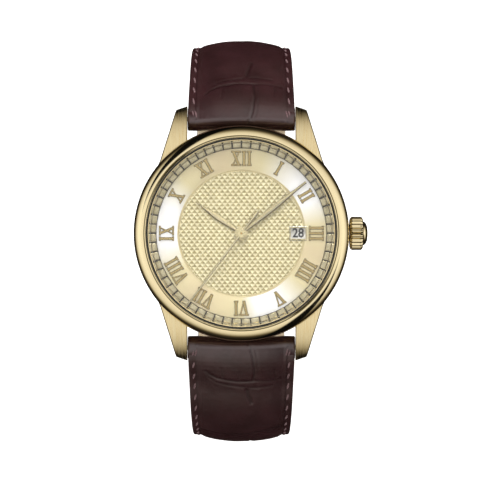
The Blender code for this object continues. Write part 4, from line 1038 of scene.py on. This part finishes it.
def lofted(columns, rows, spot):
    """A grid whose corners are moved to spot(column, row), with its seams merged and its ends closed."""
    bm = bmesh.new()
    bmesh.ops.create_grid(bm, x_segments=columns, y_segments=rows, size=0.5)
    # This layer holds a mask of painted shade for the creases and the seam's step.
    layer = bm.verts.layers.float.new("crease_painted_shade")
    for vert in bm.verts:
        column, row = round((vert.co.x + 0.5) * columns), round((vert.co.y + 0.5) * rows)
        vert.co, vert[layer] = spot(column, row)
    bmesh.ops.remove_doubles(bm, verts=bm.verts, dist=1e-7)
    bmesh.ops.holes_fill(bm, edges=[edge for edge in bm.edges if edge.is_boundary], sides=0)
    bmesh.ops.recalc_face_normals(bm, faces=bm.faces)
    return bm


def cut_out(piece, cutters):
    """Takes the cutters' shape out of a piece for good."""
    tool = place(cutters, piece.name + "_tool", piece.data.materials[0])
    cut = piece.modifiers.new("cut", "BOOLEAN")
    cut.operation, cut.solver, cut.object = "DIFFERENCE", "EXACT", tool
    after = bpy.data.meshes.new_from_object(piece.evaluated_get(bpy.context.evaluated_depsgraph_get()))
    piece.modifiers.clear()
    piece.data = after
    bpy.data.objects.remove(tool, do_unlink=True)


def joined(bm, others):
    """Adds other bmeshes to a bmesh."""
    for other in others:
        flat = bpy.data.meshes.new("joined")
        other.to_mesh(flat)
        other.free()
        bm.from_mesh(flat)
        bpy.data.meshes.remove(flat)
    return bm


def cross_bar(centre, outline):
    """A ring or rod turned round an axis along x, from (radius, place along x) pairs."""
    bm = turned(outline, 48)
    bmesh.ops.translate(bm, verts=bm.verts, vec=(0, 0, -back_height))
    bmesh.ops.rotate(bm, verts=bm.verts, cent=(0, 0, 0), matrix=Matrix.Rotation(math.radians(90), 3, "Y"))
    bmesh.ops.translate(bm, verts=bm.verts, vec=Vector(centre) * mm)
    return bm


def bend_at_bar(piece):
    """Bakes the piece's transform into its mesh. Nothing is bent, and nothing is attached to a joint."""
    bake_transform(piece)


leather, tree, shader = new_material("calf_leather_embossed_glazed_crease_shade", "#331a1c", 0.0, 0.38)
shader.inputs["Specular IOR Level"].default_value = 1.0
shader.inputs["Coat Weight"].default_value = 0.5
shader.inputs["Coat Tint"].default_value = linear("#ffe6ea")
shader.inputs["Coat Roughness"].default_value = 0.3
spot = add_node(tree, "ShaderNodeTexCoord")
# The dye is uneven over some millimetres. The creases and the step along the seam are darkened: painted shade.
cloud = add_node(
    tree, "ShaderNodeTexNoise", {"Vector": spot.outputs["Object"], "Scale": 260.0, "Detail": 4.0}
)
dye = add_node(tree, "ShaderNodeValToRGB", {"Fac": cloud.outputs["Fac"]})
fill_ramp(dye, [(0.3, linear("#2a1416")), (0.7, linear("#371d20"))])
crease_shade_mask = add_node(tree, "ShaderNodeAttribute", attribute_name="crease_painted_shade")
crease_shaded_dye = add_node(
    tree,
    "ShaderNodeMix",
    {0: crease_shade_mask.outputs["Fac"], 6: dye.outputs["Color"], 7: linear("#1c0a0c")},
    data_type="RGBA",
)
tree.links.new(crease_shaded_dye.outputs[2], shader.inputs["Base Color"])
# Pores are about 0.25 mm apart, over a fine cellular grain.
pores = add_node(tree, "ShaderNodeTexVoronoi", {"Vector": spot.outputs["Object"], "Scale": 3600.0})
grain = add_node(
    tree, "ShaderNodeTexNoise", {"Vector": spot.outputs["Object"], "Scale": 1400.0, "Detail": 3.0}
)
relief = add_node(
    tree, "ShaderNodeMath", {0: pores.outputs["Distance"], 1: grain.outputs["Fac"]}, operation="MULTIPLY"
)
mark = add_node(tree, "ShaderNodeBump", {"Height": relief.outputs[0], "Strength": 0.22, "Distance": 0.05 * mm})
tree.links.new(mark.outputs[0], shader.inputs["Normal"])
gloss = add_node(
    tree,
    "ShaderNodeMapRange",
    {"Value": grain.outputs["Fac"], "From Min": 0.3, "From Max": 0.7, "To Min": 0.32, "To Max": 0.48},
)
tree.links.new(gloss.outputs[0], shader.inputs["Roughness"])

line_12 = strap_line(Vector((33.4, 36.0)), Vector((14.0, 11.0)), heading(-190), 70)
line_6 = strap_line(Vector((36.6, 34.0)), Vector((17.0, 2.2)), heading(-180), 112)
halves = (("strap_12", line_12, 1, 70.0, False), ("strap_6", line_6, -1, 112.0, True))
leather_low = lining_thick + 0.05
front, front_round = -1.9, 1.3
hole_places = [51.18 + 6.5 * k for k in range(7)]
for name, line, side, length, pointed in halves:
    # Rows are closest where the creases are seen best.
    stations = [front + 0.1 * k for k in range(26)] + [0.6 + 0.2 * k for k in range(87)]
    stations += [18 + 0.4 * k for k in range(40)]
    stations += [34 + 0.55 * k for k in range(int((length - 34) / 0.55))]
    stations += [length - 0.25, length - 0.08, length]
    sections = []
    for distance in stations:
        kept = end_share(distance, length, pointed)
        half = strap_half(distance) * kept
        tail = math.sqrt(max(0.0, 1 - min(1.0, max(0.0, (distance - length + 0.5) / 0.5)) ** 2))
        outline = cross_section(distance, length, pointed, leather_low)
        section = []
        for w, n in outline:
            # The padding's front is upright under a rounded edge.
            short = max(0.0, 1 - (distance - front) / front_round)
            drop = front_round * (1 - math.sqrt(1 - short * short))
            tall = (n - leather_low) * (0.55 + 0.45 * tail) - drop
            section.append((w, leather_low + max(0.02, tall) if n > leather_low + 0.2 else n))
        sections.append(section)
    around = len(sections[0])

    def leather_spot(column, row):
        w, n = sections[row][column % around]
        distance = stations[row]
        half = strap_half(distance) * end_share(distance, length, pointed)
        inner = max(0.5, half - flange)
        # Painted shade: a mask that darkens the leather in its creases and along the step where the dome meets the
        # flange.
        crease_shade_depth = crease_depth(distance, w) if abs(w) < inner and n > 1.2 else 0.0
        seam_step_shade = 0.5 if abs(abs(w) - inner) < 0.12 and n > 1.2 else 0.0
        return strap_point(line, side, distance, w, n), min(1.0, max(0.0, crease_shade_depth * 5, seam_step_shade))

    bm = lofted(around, len(stations) - 1, leather_spot)
    piece = place(bm, f"{name}_leather_padded", leather)
    if pointed:
        cutters = bmesh.new()
        for at in hole_places:
            drill = bmesh.ops.create_cone(
                cutters, cap_ends=True, segments=28, radius1=0.9 * mm, radius2=0.9 * mm, depth=8 * mm
            )["verts"]
            middle = strap_point(line, side, at, 0, 1.5)
            up = (strap_point(line, side, at, 0, 2.5) - middle).normalized()
            turn = up.to_track_quat("Z", "X").to_matrix().to_4x4()
            bmesh.ops.transform(cutters, verts=drill, matrix=Matrix.Translation(middle) @ turn)
    else:
        cutters = bmesh.new()
        slot_box = bmesh.ops.create_cube(cutters, size=1.0)["verts"]
        middle = strap_point(line, side, 69.0, 0, 1.5)
        up = (strap_point(line, side, 69.0, 0, 2.5) - middle).normalized()
        turn = up.to_track_quat("Z", "X").to_matrix().to_4x4()
        bmesh.ops.scale(cutters, verts=slot_box, vec=(7 * mm, 2.8 * mm, 9 * mm))
        forward = (strap_point(line, side, 70.0, 0, 1.5) - middle).normalized()
        axes = Matrix((forward, Vector((1, 0, 0)), up)).transposed().to_4x4()
        bmesh.ops.transform(cutters, verts=slot_box, matrix=Matrix.Translation(middle) @ axes)
    cut_out(piece, cutters)
    # The fold round the spring bar, and on the buckle's half the fold round the buckle's bar.
    fold_line = [(0.87, -10.04), (0.87, 10.04), (2.0, 10.04), (2.18, 9.86), (2.22, 7.8), (2.0, 5.4), (1.88, 3.0)]
    fold_line += [(1.88, -3.0), (2.0, -5.4), (2.22, -7.8), (2.18, -9.86), (2.0, -10.04)]
    folds = [cross_bar((0, side * bar_offset, bar_height), fold_line)]
    if not pointed:
        for first, last in ((-8.95, -1.45), (1.45, 8.95)):
            ring = [(0.72, first), (0.72, last), (1.2, last), (1.33, last - 0.15), (1.33, first + 0.15), (1.2, first)]
            folds.append(cross_bar((0, 4.328, 11.588), ring))
    whole = bmesh.new()
    whole.from_mesh(piece.data)
    whole = joined(whole, folds)
    whole.to_mesh(piece.data)
    whole.free()
    piece.data.shade_smooth()
    piece.data.set_sharp_from_angle(angle=math.radians(50))
    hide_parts(f"{name}_leather")
    bend_at_bar(piece)

# ------------------------------------------------------------------ strap lining
# The side against the wrist is a thin, matt, undyed calf split, glued and stitched to the
# outer leather.
lining, tree, shader = new_material("calf_lining_suede_cream", "#d9c7ab", 0.0, 0.8)
shader.inputs["Sheen Weight"].default_value = 0.25
spot = add_node(tree, "ShaderNodeTexCoord")
nap = add_node(
    tree, "ShaderNodeTexNoise", {"Vector": spot.outputs["Object"], "Scale": 1800.0, "Detail": 5.0}
)
tint = add_node(tree, "ShaderNodeValToRGB", {"Fac": nap.outputs["Fac"]})
fill_ramp(tint, [(0.3, linear("#cdb898")), (0.7, linear("#e6d8c0"))])
tree.links.new(tint.outputs["Color"], shader.inputs["Base Color"])
mark = add_node(tree, "ShaderNodeBump", {"Height": nap.outputs["Fac"], "Strength": 0.3, "Distance": 0.05 * mm})
tree.links.new(mark.outputs[0], shader.inputs["Normal"])
for name, line, side, length, pointed in halves:
    stations = [2.6 + (length - 2.7) * k / 150 for k in range(151)]

    def lining_spot(column, row):
        distance = stations[row]
        half = strap_half(distance) * end_share(distance, length, pointed) - 0.12
        outline = [(-half, 0.2), (-half + 0.2, 0.0), (half - 0.2, 0.0), (half, 0.2)]
        outline += [(half, lining_thick - 0.02), (-half, lining_thick - 0.02)]
        w, n = outline[column % 6]
        return strap_point(line, side, distance, w, n), 0.0

    piece = place(lofted(6, 150, lining_spot), f"{name}_lining_suede", lining)
    cutters = bmesh.new()
    if pointed:
        for at in hole_places:
            drill = bmesh.ops.create_cone(
                cutters, cap_ends=True, segments=28, radius1=0.9 * mm, radius2=0.9 * mm, depth=6 * mm
            )["verts"]
            middle = strap_point(line, side, at, 0, 0)
            up = (strap_point(line, side, at, 0, 1) - middle).normalized()
            turn = up.to_track_quat("Z", "X").to_matrix().to_4x4()
            bmesh.ops.transform(cutters, verts=drill, matrix=Matrix.Translation(middle) @ turn)
    else:
        slot_box = bmesh.ops.create_cube(cutters, size=1.0)["verts"]
        bmesh.ops.scale(cutters, verts=slot_box, vec=(7 * mm, 2.8 * mm, 6 * mm))
        middle = strap_point(line, side, 69.0, 0, 0)
        up = (strap_point(line, side, 69.0, 0, 1) - middle).normalized()
        forward = (strap_point(line, side, 70.0, 0, 0) - middle).normalized()
        axes = Matrix((forward, Vector((1, 0, 0)), up)).transposed().to_4x4()
        bmesh.ops.transform(cutters, verts=slot_box, matrix=Matrix.Translation(middle) @ axes)
    cut_out(piece, cutters)
    piece.data.shade_smooth()
    piece.data.set_sharp_from_angle(angle=math.radians(40))
    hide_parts(f"{name}_lining")
    bend_at_bar(piece)

# ------------------------------------------------------------------ stitches
# Waxed linen thread, sewn through both edges of each half about 1 mm in, with the stitches
# leaning a little, and a doubled stitch at the lug end.
thread, tree, shader = new_material("linen_thread_waxed", "#8a6468", 0.0, 0.6)
spot = add_node(tree, "ShaderNodeTexCoord")
strands = add_node(
    tree, "ShaderNodeTexNoise", {"Vector": spot.outputs["Object"], "Scale": 6000.0, "Detail": 2.0}
)
tint = add_node(tree, "ShaderNodeValToRGB", {"Fac": strands.outputs["Fac"]})
fill_ramp(tint, [(0.3, linear("#5c4346")), (0.7, linear("#8d7074"))])
tree.links.new(tint.outputs["Color"], shader.inputs["Base Color"])
mark = add_node(tree, "ShaderNodeBump", {"Height": strands.outputs["Fac"], "Strength": 0.4, "Distance": 0.04 * mm})
tree.links.new(mark.outputs[0], shader.inputs["Normal"])
stitch_pitch, stitch_long, seam_inset = 2.3, 1.55, 1.02
for name, line, side, length, pointed in halves:
    bm = bmesh.new()
    last = length - (9.5 if pointed else 7.5)
    places = [0.2 + stitch_pitch * k for k in range(int((last - 0.2) / stitch_pitch) + 1)]
    spots = [(s, hand_side * (strap_half(s) - seam_inset), hand_side) for s in places for hand_side in (-1, 1)]
    spots += [(0.2, hand_side * (strap_half(0.2) - seam_inset - 0.5), hand_side) for hand_side in (-1, 1)]
    if pointed:
        # Round the tip the seam follows the outline.
        for step in range(1, 6):
            s = last + 8.2 * math.sin(step * math.pi / 12)
            w = (strap_half(s) - seam_inset) * math.cos(step * math.pi / 12) ** 0.6
            spots += [(s, w, 1), (s, -w, -1)]
    for s, w, hand_side in spots:
        half = strap_half(s)
        lift = upper_height(s, w, half)
        middle = strap_point(line, side, s, w, lift)
        ahead = strap_point(line, side, s + 0.4, w - 0.1, lift) - middle
        up = strap_point(line, side, s, w, lift + 1) - middle
        along = ahead.normalized()
        across_to = up.cross(along).normalized()
        axes = Matrix((along, across_to, along.cross(across_to))).transposed().to_4x4()
        stitch = bmesh.ops.create_uvsphere(bm, u_segments=8, v_segments=6, radius=1.0)["verts"]
        lay_flat = Matrix.Rotation(math.radians(90), 4, "Y")
        size = Matrix.Diagonal((stitch_long / 2 * mm, 0.2 * mm, 0.14 * mm, 1.0))
        bmesh.ops.transform(bm, verts=stitch, matrix=Matrix.Translation(middle) @ axes @ size @ lay_flat)
    bmesh.ops.recalc_face_normals(bm, faces=bm.faces)
    seam = place(bm, f"{name}_stitches", thread)
    bend_at_bar(seam)

# ------------------------------------------------------------------ keepers
# Two loops of the same leather, folded and glued, hold the strap's loose end: one is sewn in
# beside the buckle and the other slides.
for name, body, centre in (("fixed_keeper", "strap_12", 65.2), ("free_keeper", "free_keeper", 58.9)):
    around, section_count = 96, 14

    def keeper_spot(column, row):
        # A rounded rectangle round the strap, then a rounded flat section round that line.
        half = strap_half(centre) + 0.75
        low, high = -0.9, edge_height(centre) + 3.35
        middle_height, tall, corner = (low + high) / 2, (high - low) / 2, 0.85
        turn = 2 * math.pi * (column % around) / around
        out = Vector((math.cos(turn), math.sin(turn)))
        reach_x, reach_y = half - corner, tall - corner
        share = column % around / around * 4
        quarter, inside = int(share), share - int(share)
        # Each quarter runs from the middle of one side to the middle of the next.
        arc_turn = math.radians(90 * quarter + 90 * min(1.0, max(0.0, (inside - 0.3) / 0.4)))
        flat_before, flat_after = min(1.0, inside / 0.3), max(0.0, (inside - 0.7) / 0.3)
        signs = ((1, 1), (-1, 1), (-1, -1), (1, -1))[quarter]
        corner_at = Vector((signs[0] * reach_x, signs[1] * reach_y))
        if quarter % 2 == 0:
            corner_at.y *= flat_before
            corner_at.x *= 1 - flat_after
        else:
            corner_at.x *= flat_before
            corner_at.y *= 1 - flat_after
        out = Vector((math.cos(arc_turn), math.sin(arc_turn)))
        spin = 2 * math.pi * (row % section_count) / section_count
        wide = 2.3 * math.copysign(abs(math.cos(spin)) ** 0.35, math.cos(spin))
        thick = 0.36 * math.copysign(abs(math.sin(spin)) ** 0.6, math.sin(spin))
        place_at = corner_at + out * (corner + thick)
        return strap_point(line_12, 1, centre + wide, place_at.x, middle_height + place_at.y), 0.0

    keeper = place(lofted(around, section_count, keeper_spot), f"{name}_folded", leather)
    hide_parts(name)
    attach(keeper, body)

# ------------------------------------------------------------------ buckle
# A pin buckle bent and milled from steel, coated gold like the case, with its tongue curled
# round a plain steel bar.
dress(["buckle_frame"], gold_polished, 0.2, 3)
dress(["buckle_tongue"], gold_polished, 0.1, 2)

# ------------------------------------------------------------------ back
# A pressed-in cover of stainless steel, brushed in rings on the lathe, over a rubber seal.
steel_turned, tree, shader = new_material("stainless_steel_turned", "#b9b7b2", 1.0, 0.28)
spot = add_node(tree, "ShaderNodeTexCoord")
flat = add_node(tree, "ShaderNodeMapping", {"Vector": spot.outputs["Object"], "Scale": (1, 1, 0)})
radius = add_node(tree, "ShaderNodeVectorMath", {0: flat.outputs[0]}, operation="LENGTH")
rings = add_node(tree, "ShaderNodeMath", {0: radius.outputs["Value"], 1: 9000.0}, operation="MULTIPLY")
# Turning marks are about 0.1 mm apart.
marks = add_node(tree, "ShaderNodeTexNoise", {"W": rings.outputs[0], "Scale": 1.0}, noise_dimensions="1D")
spread = add_node(
    tree,
    "ShaderNodeMapRange",
    {"Value": marks.outputs["Fac"], "From Min": 0.3, "From Max": 0.7, "To Min": 0.2, "To Max": 0.4},
)
tree.links.new(spread.outputs[0], shader.inputs["Roughness"])
groove = add_node(tree, "ShaderNodeBump", {"Height": marks.outputs["Fac"], "Strength": 0.2, "Distance": 0.02 * mm})
tree.links.new(groove.outputs[0], shader.inputs["Normal"])
dress(["case_back"], steel_turned, 0.1, 2)

rubber, tree, shader = new_material("nitrile_rubber_moulded", "#161616", 0.0, 0.7)
spot = add_node(tree, "ShaderNodeTexCoord")
grain = add_node(tree, "ShaderNodeTexNoise", {"Vector": spot.outputs["Object"], "Scale": 4000.0})
mark = add_node(tree, "ShaderNodeBump", {"Height": grain.outputs["Fac"], "Strength": 0.2, "Distance": 0.02 * mm})
tree.links.new(mark.outputs[0], shader.inputs["Normal"])
dress(["case_back_gasket", "crown_gasket"], rubber)

# ------------------------------------------------------------------ steel pins and stem
# Spring bars, stem, tube and the buckle's bar are turned and burnished steel.
steel_burnished, tree, shader = new_material("carbon_steel_burnished", "#c2c0ba", 1.0, 0.2)
spot = add_node(tree, "ShaderNodeTexCoord")
haze = add_node(tree, "ShaderNodeTexNoise", {"Vector": spot.outputs["Object"], "Scale": 3000.0})
spread = add_node(
    tree,
    "ShaderNodeMapRange",
    {"Value": haze.outputs["Fac"], "From Min": 0.3, "From Max": 0.7, "To Min": 0.14, "To Max": 0.3},
)
tree.links.new(spread.outputs[0], shader.inputs["Roughness"])
pins = [f"spring_bar_{end}_{part}" for end in (12, 6) for part in ("body", "pin_9_side", "pin_3_side")]
dress(pins + ["buckle_bar", "crown_tube", "winding_stem"], steel_burnished)

# ------------------------------------------------------------------ movement
# A three-hand quartz movement with a date. Its plates and wheels are brass, its levers and
# cover are steel, its coil is enamelled copper wire, and its circuit board is green.
brass, tree, shader = new_material("brass_machined", "#c9a45a", 1.0, 0.3)
spot = add_node(tree, "ShaderNodeTexCoord")
grain = add_node(
    tree, "ShaderNodeTexNoise", {"Vector": spot.outputs["Object"], "Scale": 2600.0, "Detail": 3.0}
)
spread = add_node(
    tree,
    "ShaderNodeMapRange",
    {"Value": grain.outputs["Fac"], "From Min": 0.3, "From Max": 0.7, "To Min": 0.22, "To Max": 0.4},
)
tree.links.new(spread.outputs[0], shader.inputs["Roughness"])
wheels = ["fourth_wheel", "third_wheel", "centre_wheel", "fifth_wheel", "minute_wheel", "hour_wheel"]
dress(wheels + ["date_driving_wheel", "main_plate", "battery_clip"], brass)

steel_grained, tree, shader = new_material("steel_sheet_grained", "#a9a8a4", 1.0, 0.35)
spot = add_node(tree, "ShaderNodeTexCoord")
lines = add_node(tree, "ShaderNodeMapping", {"Vector": spot.outputs["Object"], "Scale": (400, 9000, 9000)})
grain = add_node(tree, "ShaderNodeTexNoise", {"Vector": lines.outputs[0], "Scale": 1.0, "Detail": 2.0})
spread = add_node(
    tree,
    "ShaderNodeMapRange",
    {"Value": grain.outputs["Fac"], "From Min": 0.3, "From Max": 0.7, "To Min": 0.25, "To Max": 0.45},
)
tree.links.new(spread.outputs[0], shader.inputs["Roughness"])
sheets = ["train_bridge", "date_ring_cover", "date_jumper", "quartz_can", "stator", "battery"]
sheets += ["bridge_screw_1", "bridge_screw_2", "setting_lever", "rotor", "cannon_pinion"]
dress(sheets, steel_grained)

copper, tree, shader = new_material("copper_wire_enamelled", "#a3502a", 0.9, 0.3)
spot = add_node(tree, "ShaderNodeTexCoord")
turns = add_node(
    tree, "ShaderNodeTexWave", {"Vector": spot.outputs["Object"], "Scale": 2400.0, "Distortion": 0.5}
)
mark = add_node(tree, "ShaderNodeBump", {"Height": turns.outputs["Fac"], "Strength": 0.5, "Distance": 0.03 * mm})
tree.links.new(mark.outputs[0], shader.inputs["Normal"])
dress(["coil"], copper)

board, tree, shader = new_material("circuit_board_solder_mask_green", "#1f4a33", 0.0, 0.4)
spot = add_node(tree, "ShaderNodeTexCoord")
tracks = add_node(
    tree,
    "ShaderNodeTexBrick",
    {
        "Vector": spot.outputs["Object"],
        "Scale": 900.0,
        "Color1": linear("#1f4a33"),
        "Color2": linear("#245439"),
        "Mortar": linear("#3c7a55"),
    },
)
tree.links.new(tracks.outputs["Color"], shader.inputs["Base Color"])
dress(["circuit_board"], board)
